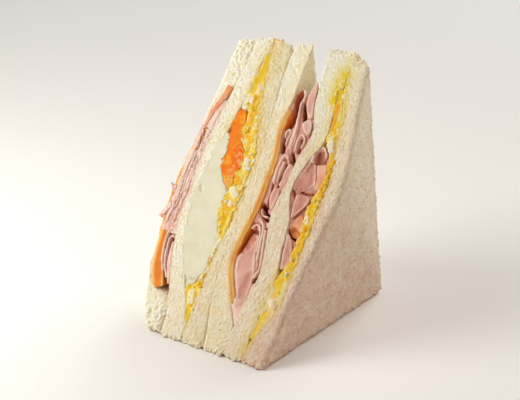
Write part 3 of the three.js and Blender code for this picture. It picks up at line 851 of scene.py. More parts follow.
@dataclass(frozen=True)
class BreadSlice:
    """One crustless slice of soft white bread."""

    stack: Stack
    number: int  # its place in SLICES
    rows: int = 320
    across: int = 26
    blunt: float = 3.5  # length over which the two thin tips are rounded off
    blunt_rows: int = 14
    inner_edge: float = 0.25  # rounding of the cut beside a filling
    shut_edge: float = 0.15  # the same where nothing parts two slices
    seam_edge: float = 0.45  # the same where two slices touch
    seam_end_edge: float = 2.2  # the same near the two tips, where they part a little
    foot_part: float = 20.0  # length over which they part at the foot
    tip_part: float = 14.0  # the same at the tip
    end_edge: float = 2.8  # rounding of those faces along the crustless edges
    outer_edge: float = 2.4  # rounding round the two outer faces
    seam_fade: float = 4.0  # length over which a seam opens beside a filling
    near_columns: tuple[float, ...] = (0, 0.14, 0.32, 0.55, 0.85, 1.25, 1.8, 2.5, 3.3)
    step: float = 0.62  # spacing of the other columns on a face that shows
    hidden_step: float = 1.3
    inward: float = 0.985  # share of the way to the back corner that the columns go
    overlap: float = 0.2  # how far a slice is pressed into the next one
    hollow: tuple[float, float] = (28.0, 122.0)  # the part of the cut that may be set back
    knob_reach: float = 2.4  # how far from the crustless edges the small knobs stand out
    skin: float = 1.6  # how far in a torn slice's outer face stays free of stains and painted light
    torn: CrumbRelief = CrumbRelief(
        Pattern((1.3, 1.5, 1.4), 3), 0.3, Pattern(4.5, 5), 0.14, Pattern((1.2, 1.6, 1.5), 17), 0.5, 0.34)
    sliced: CrumbRelief = CrumbRelief(
        Pattern((1.1, 1.2, 1.3), 11), 0.36, Pattern((2.2, 3.0, 3.0), 13), 0.1,
        Pattern((1.2, 1.4, 1.2), 23), 0.45, 0.36)
    sunk: float = 0.12  # how far the middle of the relief lies under the plain surface
    apart: float = 37.0  # how far apart in the pattern the slices lie
    edge_knobs: Pattern = Pattern(1.6, 29)
    torn_knobs: Pattern = Pattern(1.7, 31)
    torn_foot: float = 16.0  # where up the cut the small knobs of a torn slice's foot end
    torn_tip: float = 126.0  # where those of its tip begin
    torn_top: float = 121.0  # where its large knobs begin
    patches: Pattern = Pattern((1.0, 1.4, 1.4), 91)
    wide_patches: Pattern = Pattern(5.0, 92)

    def columns(self) -> np.ndarray:
        """Where the columns lie: close together behind the cut, then evenly spaced.

        Returns:
            Shares of the way from the cut to the back corner.
        """
        whole, near = self.stack.wedge.corner_depth, self.near_columns
        step = self.step if self.number in (0, len(SLICES) - 1) else self.hidden_step
        reach = self.inward * whole
        even = np.linspace(near[-1], reach, int((reach - near[-1]) / step))[1:]
        return np.concatenate([near, even]) / whole

    def outline(self, t: np.ndarray, tip: np.ndarray) -> tuple[np.ndarray, np.ndarray]:
        """The cut in profile with both tips blunted by a quadratic curve from the crustless edge.

        Args:
            t: places from the foot, 0, to the tip, 1.
            tip: where up the cut the slice ends.

        Returns:
            u and depth at each place.
        """
        wedge, foot = self.stack.wedge, SLICES[self.number].foot
        bend = self.blunt_rows / self.rows
        upper = t > 0.5
        end = np.where(upper, tip, foot)
        away = np.where(upper, 1 - t, t) / bend
        s = np.clip(away, 0, 1)
        run = wedge.corner_u - end
        reach = np.hypot(run, wedge.corner_depth)
        on_edge = (1 - s) ** 2 * self.blunt
        direction = np.where(upper, -1.0, 1.0)
        u_bend = end + on_edge * run / reach + s**2 * self.blunt * direction
        middle = (t - bend) / (1 - 2 * bend)
        u_cut = foot + self.blunt + middle * (tip - foot - 2 * self.blunt)
        return np.where(away < 1, u_bend, u_cut), on_edge * wedge.corner_depth / reach

    def shut(self, number: int, u: np.ndarray) -> np.ndarray:
        """1 where a slice is pressed against the next one, eased to 0 beside a filling.

        Args:
            number: the slice's place in SLICES, or -1 for the first slice's outer face.
            u: places up the cut.

        Returns:
            A number from 0 to 1 for each place.
        """
        seams = [np.zeros_like(u)]
        if number >= 0:
            seams += [window(u, low, high, self.seam_fade) for low, high in SLICES[number].closed]
        return np.max(seams, axis=0)

    def spot(self, t: np.ndarray, share: np.ndarray, side: np.ndarray) -> np.ndarray:
        """Places of the slice's lattice: between its two faces, with the edges rounded in.

        Args:
            t: from foot to tip.
            share: of the way from the cut to the back corner.
            side: from the left face, 0, to the right, 1.

        Returns:
            x, u and depth in the last axis.
        """
        stack, wedge, shape = self.stack, self.stack.wedge, SLICES[self.number]
        tip = shape.tips[0] + (shape.tips[1] - shape.tips[0]) * side
        start_u, start_depth = self.outline(t, tip)
        u = start_u + (wedge.corner_u - start_u) * share
        depth = start_depth + (wedge.corner_depth - start_depth) * share
        from_foot = wedge.edge_distance(u, depth, shape.foot)
        from_back = wedge.edge_distance(u, depth, tip)
        near_foot = smooth(1.2 - (start_u - shape.foot) / self.foot_part)
        near_tip = smooth(1.2 - (tip - start_u) / self.tip_part)
        parted = self.seam_edge + (self.seam_end_edge - self.seam_edge) * np.maximum(near_foot, near_tip)

        def inset(seam: int) -> np.ndarray:
            """How far the rounded edges pull a side face in: the root of the sum of their squares.

            Args:
                seam: the place in SLICES of the slice on the left of that face's seam.

            Returns:
                A distance for each place.
            """
            if seam in (-1, len(SLICES) - 1):
                beside = edge = self.outer_edge
            else:
                opened = self.shut_edge + (parted - self.shut_edge) * SLICES[seam].parting
                beside = self.inner_edge + (opened - self.inner_edge) * self.shut(seam, start_u)
                edge = self.end_edge
            cut, foot = pulled_in(depth, beside), pulled_in(from_foot, edge)
            return np.sqrt(cut**2 + foot**2 + pulled_in(from_back, edge) ** 2)

        left, right = stack.faces(self.number, start_u, share, -self.overlap)
        if self.number + 1 < len(SLICES):
            beyond = stack.face(SLICES[self.number + 1].left, start_u, share) + self.overlap
            pressed = self.shut(self.number, start_u)
            right = right + (beyond - right) * pressed * smooth(0.7 + depth / 4)
        from_left, from_right = inset(self.number - 1), inset(self.number)
        x = left + from_left + (right - left - from_left - from_right) * side
        low, high = self.hollow
        hump = np.sin(np.pi * np.clip((start_u - low) / (high - low), 0, 1)) ** 2
        return np.stack([x, u, depth + shape.set_back * hump * (1 - share) ** 8], axis=-1)

    def stain_and_light(self, food: np.ndarray) -> np.ndarray:
        """The stains and the painted shade, light and reflection, laid one over the other: strongest at
        the face they lie beside, falling off as a bell over the reach, and broken up by noise.

        Args:
            food: places in the food's coordinates.

        Returns:
            Linear colour, and strength as alpha, one row for each place.
        """
        x, u, depth = food.T
        wedge = self.stack.wedge
        left, right = self.stack.faces(self.number, u, np.zeros_like(u))
        level = wedge.height(u, depth) * wedge.cut_length / wedge.tip_height
        colour = np.zeros((len(food), 4))
        patchy = 0.85 + 0.35 * self.patches.noise(food) + 0.2 * self.wide_patches.noise(food)
        for stain_and_light in (stain_and_light for stain_and_light in STAINS_AND_PAINTED_LIGHT if stain_and_light.slice == self.number):
            away = x - left if stain_and_light.side is Side.LEFT else right - x
            fall = np.exp(-(np.clip(away, 0, None) / stain_and_light.reach) ** 2)
            amount = stain_and_light.strength * fall * window(level, stain_and_light.low, stain_and_light.high, stain_and_light.fade)
            amount = np.clip(amount * patchy, 0, 1) * np.exp(-depth / stain_and_light.soak)
            if SLICES[self.number].torn:
                amount = amount * smooth((x - left) / self.skin)
            under = colour[:, 3] * (1 - amount)
            total = np.maximum(under + amount, 1e-9)[:, None]
            tint = np.array(linear(stain_and_light.colour)[:3])
            colour[:, :3] = (colour[:, :3] * under[:, None] + tint * amount[:, None]) / total
            colour[:, 3] = under + amount
        return colour

    def knobs(self, food: np.ndarray) -> np.ndarray:
        """Extra height of the round crumbs that stand out along the crustless edges, and of the
        larger ones on the top of a torn slice: a bell round every random point.

        Args:
            food: places in the food's coordinates.

        Returns:
            The height in millimetres.
        """
        _, u, depth = food.T
        shape, wedge = SLICES[self.number], self.stack.wedge
        edges = [wedge.edge_distance(u, depth, end) for end in (shape.foot, np.mean(shape.tips))]
        near = np.exp(-(np.minimum(*edges) / self.knob_reach) ** 2)
        large = np.zeros_like(u)
        if shape.torn:
            foot = 0.7 * smooth((self.torn_foot - u) / 5)
            tip = 0.35 * smooth((u - self.torn_tip) / 3) * np.exp(-depth / 6)
            near = np.maximum(np.maximum(near, foot), tip)
            large = smooth((u - self.torn_top) / 4) * np.exp(-depth / 12)
        height = near * (1.5 * self.edge_knobs.knobs(food + 11.0 * self.number) - 0.55)
        return height + large * (0.7 * self.torn_knobs.knobs(food) - 0.2)

    def relief(self, food: np.ndarray, flat: np.ndarray) -> tuple[np.ndarray, np.ndarray]:
        """Height of the crumb, and how deep in a pore each point lies, for the painted shade of the
        pores.

        The relief of torn crumb and that of a sliced face are mixed by how flat a place is. The pores
        are the pits, and on torn crumb also the creases between the puffs; shade is painted into them.

        Args:
            food: places in the food's coordinates.
            flat: 1 on a sliced face, 0 on the torn cut.

        Returns:
            The height in millimetres, and the painted shade of the pores from 0 to 1.
        """
        shifted = food + self.apart * self.number
        torn, puffs, torn_pits = self.torn.at(shifted)
        sliced, _, sliced_pits = self.sliced.at(shifted)
        # Painted shade: the creases between the puffs and the pits are darkened.
        creases = 0.2 * smooth(1 - puffs / 0.4)
        shaded_pores = (1 - flat) * np.maximum(torn_pits * 0.5, creases) + flat * sliced_pits * 1.1
        return (1 - flat) * torn + flat * sliced - self.sunk, shaded_pores

    def build(self, material: Material) -> None:
        """Builds the slice, which stands for its plain solid.

        Args:
            material: the crumb's finish.
        """
        node = SLICES[self.number].name
        surface = box_surface(np.linspace(0, 1, self.rows + 1), self.columns(),
                              np.linspace(0, 1, self.across + 1), self.spot)
        surface.settle(self.stack.wedge)
        flat = smooth((np.abs(surface.normals()[:, 0]) - 0.3) / 0.6)
        height, pore = self.relief(surface.food, flat)
        surface.push(height + self.knobs(surface.food))
        surface.points[:, 2] = np.maximum(surface.points[:, 2], 0)
        surface.layers = {"pore": pore, "stain_and_light": self.stain_and_light(surface.food)}
        make_piece(node.replace("bread_slice", "bread"), surface, material, "bread", node)


# ---- what the fillings are made of ----

@dataclass(frozen=True)
class Beside:
    """One side of a filling on the cut, kept at a clearance from a slice."""

    side: Side
    clearance: float
    heights: tuple[float, ...] = ()  # those of the filling's other side, if it has none of its own


Rail = Path | Beside  # one side of a filling on the cut, from the bottom up


def rail_knots(rail: Rail, other: Rail, stack: Stack, gap: Gap) -> np.ndarray:
    """x and u at each knot of one side of a filling.

    Args:
        rail: that side.
        other: the other side.
        stack: the slices round the filling.
        gap: the gap that holds it.

    Returns:
        One row for each knot.
    """
    if not isinstance(rail, Beside):
        return np.array(rail, float)
    theirs = other.heights if isinstance(other, Beside) else [u for _, u in other]
    u = np.array(rail.heights or theirs, float)
    left, right = stack.gap(gap, u, np.zeros_like(u))
    x = left + rail.clearance if rail.side is Side.LEFT else right - rail.clearance
    return np.stack([x, u], axis=-1)


def both_rails(left: Rail, right: Rail, stack: Stack, gap: Gap) -> tuple[np.ndarray, np.ndarray]:
    """x and u at each knot of the left side of a filling, and of its right side."""
    return rail_knots(left, right, stack, gap), rail_knots(right, left, stack, gap)


@dataclass(frozen=True)
class Mark:
    """A dent, slit, lip or patch on a filling's face, along a path on the cut.

    A negative depth stands out. The tone is ham's: 0 is a pale cut edge, 1 the painted shade of the
    deepest fold; a deep tone on a dent or slit is painted shade in it.
    """

    path: Path
    radius: float
    depth: float = 0.0
    tone: float | None = None
    colour: str | None = None
    soft: float = 0.6  # width of its blurred border, as a share of the radius
    border: Pattern = Pattern(1.7, 101)

    def cover(self, x: np.ndarray, u: np.ndarray) -> np.ndarray:
        """1 on the path, eased to 0 across a slightly uneven border at the radius.

        Args:
            x: across the stack, on the cut.
            u: up the cut.

        Returns:
            How far the mark covers each place.
        """
        points = np.array(self.path, float)
        nearest = np.full(x.shape, np.inf)
        for start, end in zip(points, points[1:]):
            run = end - start
            part = ((x - start[0]) * run[0] + (u - start[1]) * run[1]) / max(run @ run, 1e-9)
            part = np.clip(part, 0, 1)
            aside = np.hypot(x - start[0] - part * run[0], u - start[1] - part * run[1])
            nearest = np.minimum(nearest, aside)
        uneven = 1 + 0.25 * self.border.noise(np.stack([x, u, np.zeros_like(x)], axis=-1))
        return smooth(0.5 + (1 - nearest / (self.radius * uneven)) / self.soft)


@dataclass(frozen=True, kw_only=True)
class Sheet:
    """A piece of filling that shows on the cut and runs inwards through its gap."""

    reach: float = 26.0  # how far in it goes
    front: float = 0.0  # how far behind the cut its face lies
    tone: float = 0.3  # tone of its face, as a mark's, the deeper values being painted shade
    painted_orange_glow: float = 0.0  # how orange it is: painted glow of light thrown through and off the cheese and egg beside it
    marks: tuple[Mark, ...] = ()
    relief: float = 1.0  # share of the ham's relief that it takes
    grid: float = 0.42  # spacing of its mesh on the cut
    inner_grid: float = 2.6  # the same further in
    fewest: tuple[int, int] = (8, 5)  # least number of rows up and across
    near_columns: tuple[float, ...] = (0, 0.08, 0.2, 0.36, 0.6, 0.95, 1.4, 2.0, 2.8, 3.8)

    def rails(self, stack: Stack, gap: Gap) -> tuple[np.ndarray, np.ndarray]:
        """x and u at each knot of its left side, and of its right side."""
        raise NotImplementedError

    def place(self, rails: tuple[np.ndarray, np.ndarray], length: float, t: np.ndarray,
              behind: np.ndarray, side: np.ndarray) -> tuple[Triple, dict[str, np.ndarray]]:
        """x, u and depth of its lattice before they are carried inwards, and its layers."""
        raise NotImplementedError

    def surface(self, stack: Stack, gap: Gap) -> Surface:
        """Works out the mesh; its columns are closest together at the rounded edge.

        Args:
            stack: the slices round it.
            gap: the gap that holds it.

        Returns:
            The surface, with "behind" (distance behind the face), "rim" (distance from the outline
            on the cut), and "x" and "u" (its place on the cut) as layers.
        """
        rails, near, notes = self.rails(stack, gap), self.near_columns, {}
        length = max(np.linalg.norm(np.diff(rail, axis=0), axis=-1).sum() for rail in rails)
        width = np.linalg.norm(rails[1] - rails[0], axis=-1).max()
        up, across = (max(least, round(size / self.grid)) + 1
                      for least, size in zip(self.fewest, (length, width)))
        inward = max(2, int((self.reach - near[-1]) / self.inner_grid)) + 1
        columns = np.concatenate([near, np.linspace(near[-1], self.reach, inward)[1:]])

        def spot(t: np.ndarray, behind: np.ndarray, side: np.ndarray) -> np.ndarray:
            """Places of the lattice, carried inwards.

            Args:
                t: from its bottom, 0, to its top, 1.
                behind: how far behind its face.
                side: from its left side, 0, to its right, 1.

            Returns:
                x, u and depth in the last axis.
            """
            place, layers = self.place(rails, length, t, behind, side)
            notes.update(layers)
            return stack.carry(gap, *place)

        made = box_surface(np.linspace(0, 1, up), columns, np.linspace(0, 1, across), spot)
        made.layers = notes
        made.settle(stack.wedge)
        return made


@dataclass(frozen=True)
class Pad(Sheet):
    """A filling between two rails."""

    left: Rail
    right: Rail
    tilt: float = 0.0  # how much deeper its right side lies than its left
    edge: float = 0.4  # rounding of the cut edge
    ends: float = 1.2  # length over which its two ends are rounded off
    grow: float = 0.15  # how far it is pressed into what is beside it
    ragged: float = 0.0  # unevenness of its two sides
    sides: Pattern = Pattern((1.8, 3.0, 5.0), 67)

    def rails(self, stack: Stack, gap: Gap) -> tuple[np.ndarray, np.ndarray]:
        """x and u at each knot of its left side, and of its right side."""
        return both_rails(self.left, self.right, stack, gap)

    def place(self, rails: tuple[np.ndarray, np.ndarray], length: float, t: np.ndarray,
              behind: np.ndarray, side: np.ndarray) -> tuple[Triple, dict[str, np.ndarray]]:
        """Places between the two rails, pulled in at the rounded cut edge and pushed by the marks.

        Args:
            rails: knots of its two sides.
            length: length of the longer side.
            t: from its bottom, 0, to its top, 1.
            behind: how far behind its face.
            side: from its left side, 0, to its right, 1.

        Returns:
            x, u and depth, and the layers of the surface.
        """
        start, end = (spline(rail, t) for rail in rails)
        wide = np.maximum(np.linalg.norm(end - start, axis=-1), 1e-6)
        from_ends = np.minimum(t, 1 - t) * length
        rounding = np.sqrt(np.clip(1 - (1 - np.minimum(from_ends / self.ends, 1)) ** 2, 0.01, 1))
        half = (wide / 2 + self.grow) * rounding
        half = half - np.minimum(pulled_in(behind, self.edge), half * 0.8)
        rough = self.ragged * self.sides.noise(np.stack([t * length, behind, side * 9], axis=-1))
        offset = (half + rough * rounding) * (2 * side - 1) / wide
        x, u = (start + (end - start) * (0.5 + offset)[:, None]).T
        face = self.front + pulled_in(np.minimum(from_ends, self.edge), self.edge)
        face = face + self.tilt * (side - 0.5)
        for mark in self.marks:
            face = face + mark.depth * mark.cover(x, u)
        depth = face + behind * (self.reach - face) / self.reach
        rim = np.where(behind > 0, 0.0, np.minimum(from_ends, np.minimum(side, 1 - side) * wide))
        return (x, u, depth), {"x": x, "u": u, "behind": depth - self.front, "rim": rim}


@dataclass(frozen=True, kw_only=True)
class Fold(Sheet):
    """A slice of ham seen edge on: a ribbon of even thickness along a folded path on the cut."""

    path: Path = field(kw_only=False)
    tone: float = 0.0
    relief: float = 0.4
    grid: float = 0.3
    inner_grid: float = 2.2
    fewest: tuple[int, int] = (12, 6)
    thickness: float = 0.85
    sway: float = 0.5  # how far the sheet wanders sideways further in
    wander: Pattern = Pattern((3.0, 4.0, 5.0), 41)
    swells: Pattern = Pattern((2.2, 2.6, 4.0), 43)
    ragged: Pattern = Pattern((2.0, 2.6, 1.0), 47)

    def rails(self, stack: Stack, gap: Gap) -> tuple[np.ndarray, np.ndarray]:
        """x and u at each knot of the path, for both sides."""
        return np.array(self.path, float), np.array(self.path, float)

    def place(self, rails: tuple[np.ndarray, np.ndarray], length: float, t: np.ndarray,
              behind: np.ndarray, side: np.ndarray) -> tuple[Triple, dict[str, np.ndarray]]:
        """Places at up to half the thickness to each side of the path, with a half-round cut edge,
        wandering sideways a little as they go inwards.

        Args:
            rails: knots of the path, twice.
            length: its length.
            t: along the path, from 0 to 1.
            behind: how far behind the face.
            side: across the ribbon, from 0 to 1.

        Returns:
            x, u and depth, and the layers of the surface.
        """
        path, radius = rails[0], self.thickness / 2
        heading = spline(path, np.minimum(t + 0.01, 1)) - spline(path, np.maximum(t - 0.01, 0))
        heading = heading / np.linalg.norm(heading, axis=-1, keepdims=True)
        x, u = spline(path, t).T
        ends = np.sqrt(np.clip(np.minimum(t, 1 - t) * length / radius, 0.12, 1))
        half = radius * ends * (1 - pulled_in(behind, radius) / radius * 0.85)
        where = np.stack([x, u, behind * 0.7], axis=-1)
        wander = self.sway * smooth(behind / 6) * self.wander.noise(where)
        offset = half * (1 + 0.22 * self.swells.noise(where)) * (2 * side - 1) + wander
        ragged = 0.3 * self.ragged.noise(where * (1, 1, 0))
        depth = self.front + ragged + behind * (self.reach - self.front) / self.reach
        rim = np.where(behind > 0, 0.0, 0.3 - 0.3 * np.abs(2 * side - 1))
        beside = x + heading[:, 1] * offset, u - heading[:, 0] * offset, depth
        return beside, {"x": x, "u": u, "behind": behind, "rim": rim}


# ---- ham and cheese ----

THROUGH = 50.0  # reach of a sheet that goes right through
HAMS: dict[Gap, tuple[Pad | Fold, ...]] = {
    Gap.LEFT: (
        Pad(
            ((-45, 50.5), (-46, 64), (-46.8, 76), (-47.2, 88), (-46.9, 96)),
            ((-44.2, 50.5), (-44.7, 64), (-45.9, 76), (-45.9, 88), (-46.4, 96)),
            reach=40, front=-0.4, tone=0.06, grow=0.4, ragged=0.4),
        Pad(
            ((-41.9, 51.5), (-41.9, 64), (-43.2, 76), (-43.1, 88), (-43.6, 98), (-42.7, 107)),
            ((-41.1, 51.5), (-41.2, 64), (-42.2, 76), (-42.4, 88), (-42.8, 98), (-42.1, 107)),
            reach=THROUGH, front=-0.1, tone=0.08, grow=0.4, ragged=0.4),
        Pad(
            ((-40.6, 50.5), (-40.9, 64), (-41.9, 76), (-42.1, 88), (-42.5, 98), (-42, 107),
             (-41.6, 113)),
            Beside(Side.RIGHT, 0.25),
            reach=THROUGH, front=0.3, tone=0.12, grow=0.4, ragged=0.4),
        Fold(
            ((-35.8, 28.6), (-38.4, 33), (-40.5, 39), (-41.4, 44.5), (-40.7, 48), (-39.6, 47.4)),
            thickness=0.8, front=-0.3),
        Fold(
            ((-33, 26.2), (-36.4, 31.2), (-38.6, 37), (-39.6, 42.5), (-38.8, 45.3), (-37.9, 44.6)),
            front=0.2),
        Pad(
            ((-31, 23.4), (-33.4, 28), (-35.9, 33.5), (-37.4, 39.5), (-37.8, 42.8)),
            Beside(Side.RIGHT, 0.25),
            reach=THROUGH, front=0.4, tone=0.2)),
    Gap.MIDDLE: (
        Fold(
            ((-7.4, 119.5), (-6.9, 124.6), (-5.3, 126.3), (-3.8, 124.4), (-3.9, 119.6), (-2.9, 114.6),
             (-1.6, 110.3)),
            front=0.2,
            # Painted shade: a deep tone for the hollow left of the fold, with no dent.
            marks=(Mark(((-8.6, 117), (-7.6, 122), (-6.8, 125.2)), 1.8, 0, 0.74),)),
        Pad(
            ((-1.4, 96.4), (-2.1, 99), (-2.3, 104), (-1.9, 108.6)),
            ((0.8, 96.4), (0.5, 99), (0.3, 104), (-0.8, 108.6)),
            front=0.6, tone=0.34),
        Pad(
            ((3.1, 114), (0.6, 116.8), (-1.1, 121), (-1.7, 126), (-0.7, 131.2)),
            ((4.3, 114.4), (3.3, 117.6), (2.2, 121.6), (1, 126.4), (0, 131.4)),
            tone=0.22),
        Pad(
            ((5.7, 105.4), (3.3, 107.8), (1.7, 109.8), (2.9, 111.9), (4.3, 112.7)),
            ((6.5, 105.8), (6.8, 107.6), (6.5, 109.6), (5.6, 111.4), (4.8, 112.5)),
            reach=14, front=-1, tone=0.25),
        Fold(((3, 97.6), (2.1, 101), (1.8, 104.2), (3, 106), (4.5, 105.2), (5.3, 102.6), (5, 100))),
        Fold(
            ((-5.3, 103.5), (-5.6, 106.1), (-4.6, 107.3), (-3.6, 106.1), (-3.4, 102.5), (-2.9, 99.4)),
            thickness=0.75, front=0.4),
        Fold(
            ((-0.7, 81), (-1.4, 85), (-1.7, 89.6), (-1.3, 93.3), (0.2, 94.6), (1.5, 93.2)),
            thickness=1.2, front=-0.5),
        Pad(
            ((1.8, 81), (1.7, 85), (1.7, 89), (2.4, 92)),
            ((3.8, 81), (4.3, 85), (4.6, 89), (3.9, 92.4)),
            front=0.8, tone=0.35),
        Pad(
            ((2.2, 69.8), (0.8, 73), (0.2, 76.4), (0.6, 79.4)),
            ((3.4, 69.6), (3.7, 73), (3.8, 76.4), (3.2, 79.4)),
            front=0.2, tone=0.3),
        Fold(((-1.1, 68.6), (-0.1, 66.5), (1.6, 65.6), (3.2, 65.8)), front=0.2),
        Fold(
            ((-0.5, 64.2), (1.2, 63.2), (3.1, 61.2), (4.2, 58), (5, 54), (6.2, 49.5), (7, 45.4)),
            front=-0.2),
        Fold(
            ((4.9, 60), (5.9, 56), (7.1, 51.8), (8.7, 46.8), (9.7, 42.6), (9.3, 39.8), (8.7, 37.8)),
            thickness=0.9),
        Fold(
            ((-1.9, 58.6), (-1.3, 60.3), (0.4, 60.9), (2.1, 59.6), (3.2, 57), (4, 53.4), (5.1, 49)),
            thickness=0.9, reach=34),
        Pad(
            ((7.9, 21), (5.4, 26.8), (0.9, 34.6), (-1.7, 41), (-2.4, 47), (-2.2, 53), (-1.2, 57.2)),
            ((8.8, 21.2), (8.9, 27.2), (8.5, 34.2), (7.3, 40.6), (5.7, 45), (3.6, 50.6), (1.9, 57)),
            reach=THROUGH, front=0.5, grow=0.35, tone=0.3, grid=0.3,
            marks=(
                Mark(((-2.6, 57), (-3.6, 51)), 3.2, 2.0, 0.46, soft=1.7),
                Mark(((6.2, 22), (7, 30), (6.8, 38)), 2.2, 0.3, 0.38, soft=1.6)))),
    Gap.RIGHT: (
        Pad(
            ((12.5, 94.6), (13.2, 97.4), (14.4, 100.4), (15.4, 103)),
            ((14.4, 95.2), (18.4, 97.6), (18.9, 100.2), (16.4, 103)),
            front=-0.2, tone=0.2,
            marks=(Mark(((15.4, 99.6), (16.6, 97.4)), 1.9, 2.6, 0.5, soft=1.5),)),
        Pad(
            ((19.5, 83.4), (18.9, 88), (17.2, 92), (16.1, 94.4)),
            ((22.3, 83.6), (22.3, 89), (21.7, 93.2), (20.2, 95.8)),
            reach=THROUGH, front=0.2, tone=0.2, painted_orange_glow=0.7),
        Pad(
            ((9.6, 81), (10, 84.4), (10.9, 88.6), (12, 92.6)),
            ((13.8, 81.2), (17.8, 84.4), (17.8, 87.8), (14, 92.8)),
            reach=THROUGH, front=0.5, tone=0.56,
            marks=(Mark(((12, 90), (12.8, 85)), 2.6, 1.6, 0.66, soft=1.6),)),
        Pad(
            ((14.5, 68.2), (13.9, 71.4), (13.1, 75), (12.9, 79.2)),
            ((15.3, 68.4), (17.2, 71.8), (19.2, 75.4), (19.7, 79)),
            front=-0.5, tone=0.47),
        Pad(
            ((18.9, 60.2), (16.3, 62.8), (16.2, 66.2), (18.4, 71)),
            ((20.4, 60.2), (21.4, 63.2), (20.9, 67), (19.4, 71.2)),
            reach=THROUGH, front=0.3, tone=0.36, painted_orange_glow=0.75,
            marks=(Mark(((18, 62.4), (20.4, 61.4)), 1.9, 1.6, 0.7, soft=1.4),)),
        Pad(
            ((20, 45.2), (17.9, 51), (16.5, 57), (15.8, 61)),
            ((21.2, 45.4), (22, 50.6), (20.2, 56.4), (16.8, 60.8)),
            reach=THROUGH, front=0.4, tone=0.44)),
}

